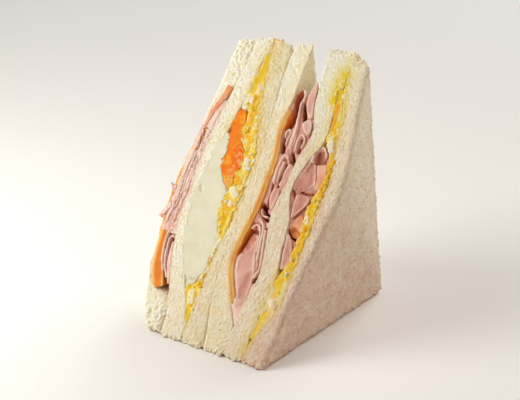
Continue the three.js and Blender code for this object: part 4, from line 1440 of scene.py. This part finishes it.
HAM_BEDS: tuple[tuple[Gap, str, Pad | Fold], ...] = (
    (Gap.LEFT, "crumpled_ham_shred_1", Fold(
        ((-45.2, 85.5), (-44.7, 80), (-44.9, 74), (-44, 67.5), (-43.6, 62), (-43.9, 58)),
        thickness=1.5, front=-0.2, tone=0.2)),
    (Gap.LEFT, "crumpled_ham_shred_2", Fold(
        ((-43.9, 92), (-43.2, 84), (-43, 76), (-42.3, 68), (-42, 60), (-41.2, 52)),
        thickness=1.0, front=-0.1, tone=0.1)),
    (Gap.LEFT, "crumpled_ham_left", Pad(
        Beside(Side.LEFT, -0.9, (46, 50.5, 64, 76, 88, 98, 107, 112.5)),
        Beside(Side.RIGHT, -0.3),
        front=0.2, tone=0.13,
        marks=(
            Mark(((-45.4, 97), (-45.8, 87)), 1.0, 0.4, 0.6),
            Mark(((-45.4, 76), (-44.6, 60)), 0.5, 0.2, 0.3)))),
    (Gap.LEFT, "orange_ham_patch", Pad(
        ((-47, 97), (-46.8, 103), (-45.8, 109), (-44.7, 114), (-44, 119.6)),
        ((-45.8, 97), (-45.3, 103), (-44, 108.4), (-41.9, 113.4), (-40.7, 119)),
        reach=9, front=-0.2, tone=0.12, painted_orange_glow=0.9, ends=0.9, ragged=0.25)),
    (Gap.LEFT, "ham_flake_1", Pad(
        ((-46.6, 67.6), (-49.2, 67.6), (-50.6, 68.6)),
        ((-46.4, 63.6), (-48.4, 65.6), (-50.4, 68.2)),
        front=-0.7, reach=3, tone=0.02, ends=0.6, ragged=0.3, grid=0.3)),
    (Gap.LEFT, "ham_flake_2", Pad(
        ((-46.4, 60.4), (-48.2, 56.6), (-49.6, 52.4)),
        ((-44.8, 57.4), (-46.8, 54.6), (-49.2, 52)),
        front=-0.8, reach=3, tone=0.0, ends=0.6, ragged=0.3, grid=0.3)),
    (Gap.MIDDLE, "ham_sheet_middle", Pad(
        Beside(Side.LEFT, -0.2, (105, 110, 115, 120, 125)),
        Beside(Side.LEFT, 0.8),
        front=1.0, tone=0.32, painted_orange_glow=0.8)),
    (Gap.MIDDLE, "crumpled_ham_middle", Pad(
        Beside(Side.LEFT, 1.4, (25, 31, 38, 45, 53, 62, 71, 80, 90, 98, 104, 110, 116, 122)),
        Beside(Side.RIGHT, -0.2),
        front=1.1, tone=0.3,
        marks=(
            Mark(((-6.6, 121.5), (-6.2, 116), (-5.6, 110)), 2.3, 3.4, 0.42, soft=0.7),
            Mark(((-4.6, 126), (-3.8, 122), (-3.9, 118), (-2.6, 113), (-1.4, 109), (-1, 104), (-0.4, 99)),
                 0.7, -0.9, 0.05),
            Mark(((-2, 121), (-0.9, 117), (0.6, 113.8), (2.2, 112.6)), 0.9, 3.5, 0.95),
            Mark(((-2.6, 57), (-3.6, 50)), 3.4, 2.8, 0.4, soft=1.2),
            Mark(((-5, 105.4), (-4.8, 101.5), (-3.8, 97)), 1.1, 3.5, 0.78),
            Mark(((3.6, 104.5), (4.3, 101), (4.4, 98.5)), 0.9, 2, 0.6),
            Mark(((1.9, 97.4), (3.4, 94.6), (5.6, 91.2)), 0.6, 3, 1.0),
            Mark(((2.6, 93.5), (4.2, 89)), 0.4, 2, 0.95),
            Mark(((-0.2, 91.6), (-0.3, 87), (0.2, 83)), 0.8, -0.9, 0.08),
            Mark(((1.2, 91.5), (1.1, 87), (1.4, 83), (1.6, 80.5)), 0.5, 3.5, 0.95),
            Mark(((-1.8, 84.5), (-1.2, 80), (-0.2, 77.5)), 0.5, 2.5, 0.9),
            Mark(((-0.4, 76), (0.4, 72.5), (1, 70)), 0.5, 2.5, 0.9),
            Mark(((-1.6, 69.5), (0.8, 67), (3, 65.4)), 1.5, 5, 0.85),
            Mark(((1.4, 61.8), (3, 60.6)), 0.4, 1.5, 0.8),
            Mark(((4.8, 60), (6.2, 57.6)), 0.55, 2.5, 1.0),
            Mark(((8, 49), (8.9, 45), (9.6, 40), (9.7, 37)), 0.9, 3, 0.8),
            Mark(((8.4, 35.6), (10.4, 36.4)), 0.5, 2.5, 1.0)))),
    (Gap.MIDDLE, "ham_foot_middle", Pad(
        ((9.1, 15), (6.6, 19), (4.2, 23), (2.6, 27)),
        ((9.6, 15), (9.7, 19), (9.8, 23), (9.7, 27)),
        front=0.4, tone=0.22, ends=0.8,
        marks=(Mark(((7.6, 17), (5, 21.6), (2.8, 27)), 1.5, tone=0.0, soft=1.2),))),
    (Gap.RIGHT, "crumpled_ham_right", Pad(
        Beside(Side.LEFT, -0.2, (45, 51, 57, 61, 67, 72.5, 78, 83.5, 90, 95, 99.5, 103.5)),
        Beside(Side.RIGHT, 1.6),
        front=0.9, tone=0.48,
        marks=(
            Mark(((15.4, 99.6), (16.6, 97.4)), 1.9, 2.8, 0.48, soft=1.5),
            Mark(((17.6, 62.4), (20, 61.4)), 1.9, 3.4, 0.6, soft=1.2),
            Mark(((12.8, 101), (12, 97), (11.2, 92)), 0.4, 1.2, 0.6),
            Mark(((13.3, 102.6), (12.7, 98), (12.4, 94.5), (11.6, 91)), 0.45, -0.9, 0.0),
            Mark(((15, 94.4), (16.6, 91.5), (18.2, 87.6), (19.2, 84)), 0.4, -0.9, 0.0),
            Mark(((8.6, 82), (10.5, 80), (12.4, 78)), 0.45, 1.2, 0.7),
            Mark(((14.2, 81.2), (16.6, 80.9), (20.4, 81.4)), 0.45, 2, 0.95),
            Mark(((17, 61.4), (18.6, 59.9), (20.4, 59.3), (21.6, 60)), 0.5, 2, 1.0),
            Mark(((20, 56.4), (20.9, 54.4), (21.7, 52.4)), 0.45, 2, 1.0)))),
)

CHEESE_CREASE = (
    (1.6, 26), (-5.8, 38), (-6.6, 45), (-6, 53), (-5.9, 62), (-6.8, 71), (-7.6, 80), (-9.8, 90),
    (-9.8, 98), (-9.7, 110), (-10.4, 118))
CHEESES: tuple[tuple[Gap, str, Pad | Fold, tuple[str, ...]], ...] = (
    (Gap.LEFT, "cheese_sheet_left", Pad(
        ((-37.2, 21.6), (-41.1, 27), (-43.2, 38), (-43.7, 50), (-44.1, 64), (-45.4, 76), (-45.4, 88),
         (-46, 98), (-45.3, 107), (-42.9, 118)),
        ((-35.4, 21.6), (-39.3, 27), (-41.9, 38), (-42.4, 50), (-42.4, 64), (-43.7, 76), (-43.6, 88),
         (-44.1, 98), (-43.3, 107), (-41.2, 118)),
        reach=THROUGH, front=0.6, tone=0.0, edge=0.35), ("cheese_left",)),
    (Gap.MIDDLE, "cheese_sheet_right", Pad(
        Beside(Side.LEFT, -0.2, (24.4, 31, 38, 45, 53, 62, 71, 80, 90, 98, 104, 110, 115.5)),
        Beside(Side.LEFT, 1.6),
        reach=THROUGH, front=-0.1, tilt=0.7, tone=0.22, edge=0.4, ends=2, grow=0.2, ragged=0.3,
        marks=(Mark(CHEESE_CREASE, 0.9, tone=0.0, soft=1.6),)), ("cheese_right",)),
    (Gap.LEFT, "cheese_face_left", Pad(
        ((-37.4, 20.4), (-41.2, 27), (-43.6, 36), (-45.2, 47)),
        ((-32.6, 21.4), (-36.2, 29), (-39.7, 37), (-41.6, 47)),
        front=0.0, tilt=0.6, tone=0.5, edge=0.5, ends=2.5, reach=12,
        marks=(Mark(((-37.4, 21), (-41, 27), (-43.4, 36), (-45, 47)), 0.9, tone=0.26, soft=1.4),)), ()),
    (Gap.LEFT, "cheese_rim_left", Fold(
        ((-45.4, 44), (-47.4, 54), (-48.3, 64), (-48.7, 74), (-48.5, 84), (-47.6, 93)),
        thickness=1.3, front=0.2, tone=0.16, reach=4), ()),
)


@dataclass(frozen=True)
class HamAndCheese:
    """The folded ham and the cheese sheets in three of the gaps."""

    stack: Stack
    pantry: Pantry
    ham_dark_by: float = 7.0  # depth at which a fold has its deepest painted shade
    cheese_dark_by: float = 5.5
    face: float = 0.6  # how far behind the cut a rim is still pale
    rim: float = 0.55  # how wide it is
    crumpled_from_to: tuple[float, float] = (50.0, 97.0)  # where up the left gap the ham is crumpled
    patches: Pattern = Pattern((2.0, 3.5, 3.5), 61)
    wide_patches: Pattern = Pattern(7.0, 63)
    swells: Pattern = Pattern(3.0, 51)
    fibres: Pattern = Pattern((0.9, 1.6, 1.6), 53)
    crumples: Pattern = Pattern((1.6, 2.2, 1.2), 55)
    waves: Pattern = Pattern(5.0, 57)
    ripples: Pattern = Pattern(1.2, 59)

    def paint(self, surface: Surface, sheet: Pad | Fold, dark_by: float,
              crumpled: np.ndarray | float = 0.0) -> None:
        """Paints the tone and shade: the face's own tone and that of its marks, paler at its rim, and
        painted shade that deepens the further it is in.

        Args:
            surface: the sheet's mesh, with its notes as layers.
            sheet: its tone and marks.
            dark_by: depth at which it has its deepest painted shade.
            crumpled: height of its crumples, which get a painted highlight on top and painted shade in
                the creases.
        """
        behind, rim = surface.layers["behind"], surface.layers["rim"]
        patchy = 0.1 * self.patches.noise(surface.points) + 0.12 * self.wide_patches.noise(surface.points)
        # Painted highlight on the tops of the crumples, painted shade between them.
        tone = sheet.tone + patchy - 0.3 * crumpled
        for mark in sheet.marks:
            if mark.tone is not None:
                cover = mark.cover(surface.layers["x"], surface.layers["u"])
                tone = tone + (mark.tone - tone) * np.clip(1.8 * cover, 0, 1)
        pale = sheet.tone * 0.9 * np.exp(-rim / self.rim) * (behind < self.face)
        # Painted shade: a deeper tone the further behind the face.
        depth = smooth(behind / dark_by) * (1 - tone) * 0.9
        surface.layers = {
            "tone_and_painted_shade": np.clip(tone - pale + depth, 0, 1),
            # painted orange glow, patchy like the tone
            "painted_orange_glow": np.clip(sheet.painted_orange_glow * (0.8 + 2 * patchy), 0, 1)}

    def ham(self, gap: Gap, name: str, sheet: Pad | Fold, *nodes: str) -> None:
        """One piece of ham, with a relief of low swells and fine fibres, crumpled in the left gap.

        Args:
            gap: the gap that holds it.
            name: the piece's name.
            sheet: its shape.
            nodes: the CAD node that it stands for, if any.
        """
        surface = sheet.surface(self.stack, gap)
        points, crumpled = surface.points, 0.0
        surface.push((0.22 * self.swells.noise(points) + 0.1 * self.fibres.noise(points)) * sheet.relief)
        if gap is Gap.LEFT:
            where = window(surface.food[:, 1], *self.crumpled_from_to, 4)
            crumpled = where * (self.crumples.billow(points) - 0.4)
            surface.push(0.55 * crumpled)
        self.paint(surface, sheet, self.ham_dark_by, crumpled)
        make_piece(name, surface, self.pantry.ham, "ham", *nodes)

    def cheese(self, gap: Gap, name: str, sheet: Pad | Fold, *nodes: str) -> None:
        """One piece of cheese, with a relief of low waves.

        Args:
            gap: the gap that holds it.
            name: the piece's name.
            sheet: its shape.
            nodes: the CAD node that it stands for, if any.
        """
        surface = sheet.surface(self.stack, gap)
        points = surface.points
        surface.push(0.1 * self.waves.noise(points) + 0.03 * self.ripples.noise(points))
        self.paint(surface, sheet, self.cheese_dark_by)
        make_piece(name, surface, self.pantry.cheese, "cheese", *nodes)

    def build(self) -> None:
        """Builds every sheet and fold; a numbered piece of ham stands for the node of its number."""
        for gap, sheets in HAMS.items():
            for number, sheet in enumerate(sheets, 1):
                node = f"ham_{gap.name.lower()}_{number}"
                self.ham(gap, "folded_" + node, sheet, node)
        for bed in HAM_BEDS:
            self.ham(*bed)
        for gap, name, sheet, nodes in CHEESES:
            self.cheese(gap, name, sheet, *nodes)


# ---- egg ----

MUSTARD = "#EBC410"
YOLK_GOLD = "#FAB41E"
YOLK_YELLOW = "#F8CC1E"
EGG_PALE = "#F8EFD2"
EGG_WHITE_RAIL = (
    (-17.8, 29.5), (-16.6, 36), (-16.7, 44), (-17.9, 52), (-20.9, 60), (-22, 67), (-22.7, 71.5),
    (-27.5, 77), (-30.2, 83), (-31.1, 90), (-33, 98))
EGG_WHITE = Pad(
    Beside(Side.LEFT, -0.5), EGG_WHITE_RAIL,
    reach=THROUGH, edge=0.12, ends=3, grow=0.8, ragged=0.7, grid=0.45,
    marks=(
        Mark(((-34.8, 70.4), (-34, 69)), 1.0, 0.25),
        Mark(((-30, 42), (-24, 44)), 1.0, 0.2, soft=1.5)))
EGG_WHITE_BITS = (
    Pad(
        ((-31.6, 110.2), (-33.2, 113.4), (-32.8, 117)),
        ((-30.2, 110.2), (-28.4, 113.4), (-30.6, 117)),
        reach=8, grid=0.4),
    Pad(
        ((-21.6, 24.6), (-24.2, 28), (-26, 31.6)),
        ((-20.4, 24.6), (-18.2, 28), (-17.6, 31.6)),
        reach=8, front=0.4, grid=0.4),
)
EGG_YOLK = Pad(
    ((-21.8, 71.8), (-26.6, 77), (-29.5, 83), (-30.4, 90), (-32.1, 98), (-32.6, 104.5), (-31.6, 110.4)),
    ((-21.1, 71.8), (-21.5, 77), (-20.9, 83), (-21.4, 90), (-25.6, 97), (-27.2, 104), (-29.8, 110.4)),
    reach=34, front=-0.05, edge=0.12, ends=1.6, grow=0.6, ragged=0.9, grid=0.33)
MASH_LEFT_RAIL = (
    (-14.6, 10.5), (-16.9, 17.5), (-20.6, 25), (-17.1, 28), (-15.9, 33), (-15.9, 40), (-16, 46),
    (-17.2, 53), (-20.2, 60), (-21.3, 66), (-20.6, 71), (-20.3, 76), (-20.1, 83), (-20.6, 90),
    (-24.7, 97), (-26.4, 104), (-28.4, 111), (-31, 116), (-31.1, 124), (-31.2, 132), (-30.7, 139))
MASH_RIGHT_RAIL = (
    (19.6, 12), (19.8, 24), (20.1, 36), (20.6, 42.5), (22.7, 47.5), (22.8, 55), (22.4, 61), (21.9, 67),
    (21, 72.5), (21.3, 78), (23, 83.5), (23, 90), (22.4, 95), (20.6, 99.5), (17.2, 105), (15.7, 110),
    (14.4, 118), (12.6, 126), (11.6, 131))
LEFT_EGG_BITS = (
    Mark(((-29.2, 140), (-29.4, 130), (-30, 120)), 1.4, 0.2, colour=MUSTARD),
    Mark(((-27.6, 123), (-26.8, 119)), 1.0, -0.4, colour="#F4DCCB"),
    Mark(((-31, 114.8), (-28.6, 115)), 1.8, -0.5, colour=EGG_PALE),
    Mark(((-26.6, 117), (-25.2, 109), (-24.4, 102)), 1.4, -0.2, colour="#F5BC2E"),
    Mark(((-21, 98), (-19.6, 91)), 1.0, 0.2, colour=YOLK_YELLOW),
    Mark(((-18, 87.6), (-16.8, 84)), 1.6, -0.5, colour=EGG_PALE),
    Mark(((-20.4, 79), (-17, 77)), 1.2, -0.2, colour=YOLK_GOLD),
    Mark(((-18.4, 73), (-16.8, 71.4)), 1.7, -0.5, colour=EGG_PALE),
    Mark(((-17.6, 67.4), (-17, 66.2)), 1.0, -0.4, colour=EGG_PALE),
    Mark(((-19, 64), (-17.6, 61)), 1.7, -0.2, colour="#F8C22C"),
    Mark(((-16.9, 60), (-15.6, 53)), 0.8, 0.3, colour=MUSTARD),
    Mark(((-15.5, 49.5), (-15.2, 31)), 1.7, 0.0, colour="#F4E6BE"),
    Mark(((-15.7, 40.4), (-15.5, 38.8)), 0.7, 0.1, colour=YOLK_GOLD),
    Mark(((-15.4, 48), (-14.6, 43)), 1.3, -0.2, colour=EGG_PALE),
    Mark(((-20, 29), (-19, 25)), 1.1, 0.1, colour=YOLK_YELLOW),
    Mark(((-17.4, 23.4), (-15.8, 19.6)), 1.3, -0.4, colour=EGG_PALE),
    Mark(((-15.6, 17), (-14.4, 9)), 1.0, 0.1, colour=YOLK_YELLOW),
)
RIGHT_EGG_BITS = (
    Mark(((12.2, 130.5), (13.2, 126)), 1.3, 0.2, colour="#E9C21E"),
    Mark(((14.2, 122), (15.6, 112)), 1.6, -0.1, colour="#F6AE28"),
    Mark(((18.4, 105.6), (19.6, 102)), 1.5, -0.5, colour="#F3EADB"),
    Mark(((22.8, 97), (24, 82)), 1.6, -0.1, colour="#F4B424"),
    Mark(((22.4, 79), (23, 72)), 1.2, 0.1, colour="#F0C62A"),
    Mark(((22, 70.4), (22.8, 68.4)), 1.1, -0.5, colour=EGG_PALE),
    Mark(((23.4, 66), (24.2, 47)), 1.2, 0.1, colour="#F2BE26"),
    Mark(((22.6, 44), (22, 34)), 1.9, 0.1, colour="#F6CE3C"),
    Mark(((20.4, 36), (19.8, 28), (19.2, 20), (18.8, 12)), 1.3, 0.0, colour="#EFDDA6", soft=1.2),
    Mark(((26, 40), (25.6, 30), (24.6, 22), (22, 12)), 1.5, 0.0, colour="#EFDDA6", soft=1.2),
    Mark(((22.4, 30.6), (23.2, 28.4)), 1.3, -0.4, colour=EGG_PALE),
    Mark(((21, 24), (20, 12)), 0.8, 0.1, colour="#F2CE34"),
)
MASHES = (
    (Gap.EGG, "left", Pad(
        MASH_LEFT_RAIL, Beside(Side.RIGHT, -0.1), marks=LEFT_EGG_BITS,
        reach=46, front=0.05, edge=0.15, ends=3, grow=0.7, ragged=0.8, grid=0.35), 81),
    (Gap.RIGHT, "right", Pad(
        MASH_RIGHT_RAIL, Beside(Side.RIGHT, 0), marks=RIGHT_EGG_BITS,
        reach=44, front=0.05, edge=0.15, ends=3, grow=0.7, ragged=0.7, grid=0.35), 87),
)


@dataclass(frozen=True)
class Crumbs:
    """Loose crumbs of egg on the cut, joined into one mesh: lumpy balls scattered between two rails."""

    left: Rail
    right: Rail
    count: int
    seed: int
    smallest: float = 0.4
    largest: float = 1.0
    along: tuple[float, float] = (0.02, 0.84)  # the part of the rails that has them
    proud: tuple[float, float] = (-0.1, 0.45)  # how far behind the cut their middles lie
    stretch: tuple[float, float] = (0.7, 1.35)
    lump_size: float = 0.8

    def ball(self) -> Surface:
        """A cube blown up to a ball: each of its points is divided by its distance from the middle.

        Returns:
            The unit ball.
        """
        def spot(t: np.ndarray, inward: np.ndarray, side: np.ndarray) -> np.ndarray:
            """The point of the ball in the direction of a point of the cube."""
            cube = np.stack([side, t, inward], axis=-1)
            return cube / np.linalg.norm(cube, axis=-1, keepdims=True)

        steps = np.linspace(-1, 1, 6)
        return box_surface(steps, steps, steps, spot)

    def surface(self, stack: Stack, gap: Gap, palette: tuple[str, ...]) -> Surface:
        """Works out the crumbs: each is a ball, stretched at random, with its size pulled in and out
        by noise.

        Args:
            stack: the slices round them.
            gap: the gap that holds them.
            palette: sRGB hex colours, of which each crumb takes one.

        Returns:
            The surface of all the crumbs, with their colours as a layer.
        """
        random, count, ball = np.random.default_rng(self.seed), self.count, self.ball()
        t, side = random.uniform(*self.along, count), random.uniform(0, 1, count)
        start, end = (spline(rail, t) for rail in both_rails(self.left, self.right, stack, gap))
        middle = start + (end - start) * side[:, None]
        centre = np.column_stack([middle, random.uniform(*self.proud, count)])
        size = self.smallest + (self.largest - self.smallest) * random.uniform(0, 1, count) ** 2
        reach = size[:, None] * random.uniform(*self.stretch, (count, 3))
        lumpy = 1 + 0.3 * Pattern(self.lump_size, self.seed).noise(centre[:, None] + ball.food)
        food = (centre[:, None] + ball.food * reach[:, None] * lumpy[..., None]).reshape(-1, 3)
        quads = ball.quads + np.arange(count)[:, None, None] * len(ball.food)
        colours = np.array([linear(colour) for colour in palette])
        colours = colours[random.integers(0, len(palette), count)].repeat(len(ball.food), axis=0)
        made = Surface(food, quads.reshape(-1, 4), {"egg_colour": colours})
        made.settle(stack.wedge)
        return made


CRUMBS = (
    (Gap.EGG, "egg_crumbs_left", Crumbs(MASH_LEFT_RAIL, Beside(Side.RIGHT, -1.0), 70, 1)),
    (Gap.RIGHT, "egg_crumbs_right", Crumbs(MASH_RIGHT_RAIL, Beside(Side.RIGHT, -0.8), 40, 2)),
)


@dataclass(frozen=True)
class EggFilling:
    """Boiled egg: a half white with its yolk, and mashed egg in two gaps."""

    stack: Stack
    pantry: Pantry
    yellow: tuple[str, ...] = ("#FAD33A", "#FBE384", "#F8C426", "#FADB56", "#F6B61C", "#FBEBB0")
    pale: str = "#F8F0D0"
    yolk_tones: tuple[tuple[float, str], ...] = (
        (0.0, "#FBAA1C"), (0.35, "#F88410"), (0.7, "#F46E10"), (1.0, "#EE5C14"))
    fleck: str = "#FFB870"
    white_swells: Pattern = Pattern(8.0, 71)
    white_ripples: Pattern = Pattern(2.2, 73)
    bit_lumps: Pattern = Pattern(1.6, 83)
    yolk_lumps: Pattern = Pattern(1.5, 77)
    yolk_crumbs: Pattern = Pattern(0.9, 85)
    yolk_swells: Pattern = Pattern(3.0, 79)
    yolk_patches: Pattern = Pattern(3.2, 89)
    mash_lump: Size = (1.9, 2.4, 2.4)
    mash_crumb: Size = 0.9

    def white(self) -> None:
        """The half white: smooth, with shallow swells and a few soft dents."""
        surface = EGG_WHITE.surface(self.stack, Gap.EGG)
        points = surface.points
        surface.push(0.25 * self.white_swells.noise(points) + 0.05 * self.white_ripples.noise(points))
        surface.layers = {}
        make_piece("boiled_egg_white", surface, self.pantry.white, "egg_white", "egg_white")

    def yolk(self) -> None:
        """The yolk: crumbly to the right, smoother and more golden towards its bottom."""
        surface = EGG_YOLK.surface(self.stack, Gap.EGG)
        points, (x, u, _) = surface.points, surface.food.T
        crumbly = smooth((x + 27) / 4)
        lumps = self.yolk_lumps.cells(points)
        swells = 0.15 * self.yolk_swells.noise(points)
        surface.push((0.25 + 0.5 * crumbly) * (0.6 - lumps.distance) + swells)
        redder = 0.34 + 0.3 * crumbly * window(u, 84, 95, 3) + 0.3 * (lumps.mark - 0.5)
        redder = redder + 0.25 * self.yolk_patches.noise(surface.points)
        golden = np.maximum(window(u, 60, 78, 1.5), smooth((x + 31) / 2) * window(u, 104, 120, 1) * 0.8)
        colour = self.along(np.clip(redder * (1 - golden), 0, 1), self.yolk_tones)
        crumbs = self.yolk_crumbs.cells(surface.points)
        amount = (0.15 + 0.75 * crumbly) * (lumps.mark * 5.7 % 1 > 0.6 - 0.2 * crumbly)
        flecked = (amount * smooth(1.5 - 1.6 * crumbs.distance))[:, None]
        surface.layers = {"egg_colour": colour + (np.array(linear(self.fleck)) - colour) * flecked}
        make_piece("boiled_egg_yolk", surface, self.pantry.egg, "egg_yolk", "egg_yolk")

    def along(self, tone: np.ndarray, stops: tuple[tuple[float, str], ...]) -> np.ndarray:
        """Colours along a ramp of stops, in straight steps between them.

        Args:
            tone: place along the ramp, from 0 to 1.
            stops: places with their sRGB hex colours.

        Returns:
            Linear colours with an alpha of 1, one row a point.
        """
        places = [place for place, _ in stops]
        colours = np.array([linear(colour) for _, colour in stops])
        return np.stack([np.interp(tone, places, colours[:, i]) for i in range(4)], axis=-1)

    def white_bit(self, number: int, bit: Pad) -> None:
        """One of the small bits of white in the mash.

        Args:
            number: its number.
            bit: its shape.
        """
        surface = bit.surface(self.stack, Gap.EGG)
        surface.push(0.3 * self.bit_lumps.noise(surface.points))
        surface.layers = {}
        make_piece(f"egg_white_bit_{number}", surface, self.pantry.white, "egg_white")

    def mash(self, gap: Gap, side: str, pad: Pad, seed: int) -> None:
        """Mashed egg: a creamy paste of fine lumps, with larger bits of yolk and white in it.

        Args:
            gap: the gap that holds it.
            side: where it lies, for its name.
            pad: its outline, with a mark for every bit that shows.
            seed: picks the lumps.
        """
        surface = pad.surface(self.stack, gap)
        place = surface.layers["x"], surface.layers["u"]
        lumps = Pattern(self.mash_lump, seed).cells(surface.points)
        crumbs = Pattern(self.mash_crumb, seed + 5).cells(surface.points)
        surface.push(0.45 * (0.6 - lumps.distance) + 0.25 * (0.5 - crumbs.distance))
        palette = np.array([linear(colour) for colour in self.yellow])
        picked, fine = (
            palette[(pattern.mark * 0.999 * len(palette)).astype(int)] for pattern in (lumps, crumbs))
        colour = 0.55 * picked + 0.45 * fine
        scrap = (lumps.mark * 7.3 % 1 > 0.94) & (lumps.second - lumps.distance > 0.08)
        colour[scrap] = linear(self.pale)
        for mark in pad.marks:
            cover = (0.85 * mark.cover(*place))[:, None]
            colour = colour + (np.array(linear(mark.colour)) - colour) * cover
        surface.layers = {"egg_colour": colour}
        make_piece(f"mashed_egg_{side}", surface, self.pantry.egg, "egg_mash", f"egg_mash_{side}")

    def build(self) -> None:
        """Builds the white and its bits, the yolk, both mashes and their crumbs."""
        self.white()
        self.yolk()
        for number, bit in enumerate(EGG_WHITE_BITS, 1):
            self.white_bit(number, bit)
        for mash in MASHES:
            self.mash(*mash)
        for gap, name, crumbs in CRUMBS:
            surface = crumbs.surface(self.stack, gap, self.yellow + (self.pale,))
            make_piece(name, surface, self.pantry.egg, "egg_mash")


# ---- the studio ----

@dataclass(frozen=True)
class SoftBox:
    """A square of soft light, in metres, aimed at the middle of the food or elsewhere."""

    name: str
    place: tuple[float, float, float]
    side: float
    watts: float
    colour: str
    aim: tuple[float, float, float] = (0.0, 0.0, 0.05)

    def build(self) -> None:
        """Adds the light."""
        data = bpy.data.lights.new(self.name, "AREA")
        data.size = self.side
        data.energy = self.watts
        data.color = linear(self.colour)[:3]
        lamp = bpy.data.objects.new(self.name, data)
        lamp.location = self.place
        lamp.rotation_euler = (Vector(self.aim) - Vector(self.place)).to_track_quat("-Z", "Y").to_euler()
        bpy.context.scene.collection.objects.link(lamp)


LIGHTS = (
    SoftBox("key light", (-0.27, -0.20, 0.26), 0.26, 1.3, "#FFFEFA"),
    SoftBox("top light", (0.22, 0.12, 0.42), 0.25, 0.25, "#FFF6E8"),
    SoftBox("warm fill", (1.5, -0.75, 0.7), 0.8, 2.9, "#FFA888"),
    SoftBox("floor light", (0, 1.7, 1.2), 1.2, 24, "#FFFFFF", aim=(0.0, 1.1, 0.0)),
)


@dataclass(frozen=True)
class Studio:
    """Pale floor, soft light, and the camera at the photograph's viewpoint."""

    camera_place: tuple[float, float, float] = (463.5, -664.2, 407.7)
    azimuth: float = 34.76
    elevation: float = 23.71
    roll: float = 0.70
    focal_pixels: float = 2000.0
    image_width: float = 520.0
    sensor: float = 36.0
    far: float = 20.0  # how far the camera sees, in metres
    floor_side: float = 6.0  # in metres
    floor_colour: str = "#F8F6F2"
    floor_roughness: float = 0.85
    sky: str = "#F4F1EC"
    sky_strength: float = 0.24

    def camera(self) -> None:
        """Aims the camera by its azimuth, elevation and roll, with the photograph's focal length."""
        a, e, r = (math.radians(v) for v in (self.azimuth, self.elevation, self.roll))
        back = Vector((math.sin(a) * math.cos(e), -math.cos(a) * math.cos(e), math.sin(e)))
        right = Vector((math.cos(a), math.sin(a), 0))
        up = back.cross(right)
        turned_right = right * math.cos(r) + up * math.sin(r)
        turned_up = up * math.cos(r) - right * math.sin(r)
        data = bpy.data.cameras.new("camera")
        data.sensor_width = self.sensor
        data.lens = self.focal_pixels / self.image_width * self.sensor
        data.clip_end = self.far
        camera = bpy.data.objects.new("camera", data)
        turn = Matrix((turned_right, turned_up, back)).transposed().to_4x4()
        camera.matrix_world = Matrix.Translation(Vector(self.camera_place) * MM) @ turn
        bpy.context.scene.collection.objects.link(camera)
        bpy.context.scene.camera = camera

    def floor(self) -> None:
        """A plain pale floor just under the food."""
        half = self.floor_side / 2
        corners = [(-half, -half, 0), (half, -half, 0), (half, half, 0), (-half, half, 0)]
        mesh = bpy.data.meshes.new("floor")
        mesh.from_pydata(corners, [], [(0, 1, 2, 3)])
        paper = bpy.data.materials.new("pale paper")
        paper.use_nodes = True
        surface = paper.node_tree.nodes["Principled BSDF"]
        surface.inputs["Base Color"].default_value = linear(self.floor_colour)
        surface.inputs["Roughness"].default_value = self.floor_roughness
        mesh.materials.append(paper)
        floor = bpy.data.objects.new("floor", mesh)
        bpy.context.scene.collection.objects.link(floor)

    def build(self) -> None:
        """Builds the camera, floor, sky and lights, and shows colours as they are."""
        self.camera()
        self.floor()
        world = bpy.data.worlds.new("pale surroundings")
        world.use_nodes = True
        sky = world.node_tree.nodes["Background"]
        sky.inputs["Color"].default_value = linear(self.sky)
        sky.inputs["Strength"].default_value = self.sky_strength
        bpy.context.scene.world = world
        bpy.context.scene.view_settings.view_transform = "Standard"
        for light in LIGHTS:
            light.build()


def main() -> None:
    """Builds the studio and every piece of the food."""
    logging.basicConfig(level=logging.INFO, format="%(name)s: %(message)s")
    Studio().build()
    stack, pantry = Stack(), Pantry()
    for number in range(len(SLICES)):
        BreadSlice(stack, number).build(pantry.bread)
    HamAndCheese(stack, pantry).build()
    EggFilling(stack, pantry).build()


if __name__ == "__main__":
    main()
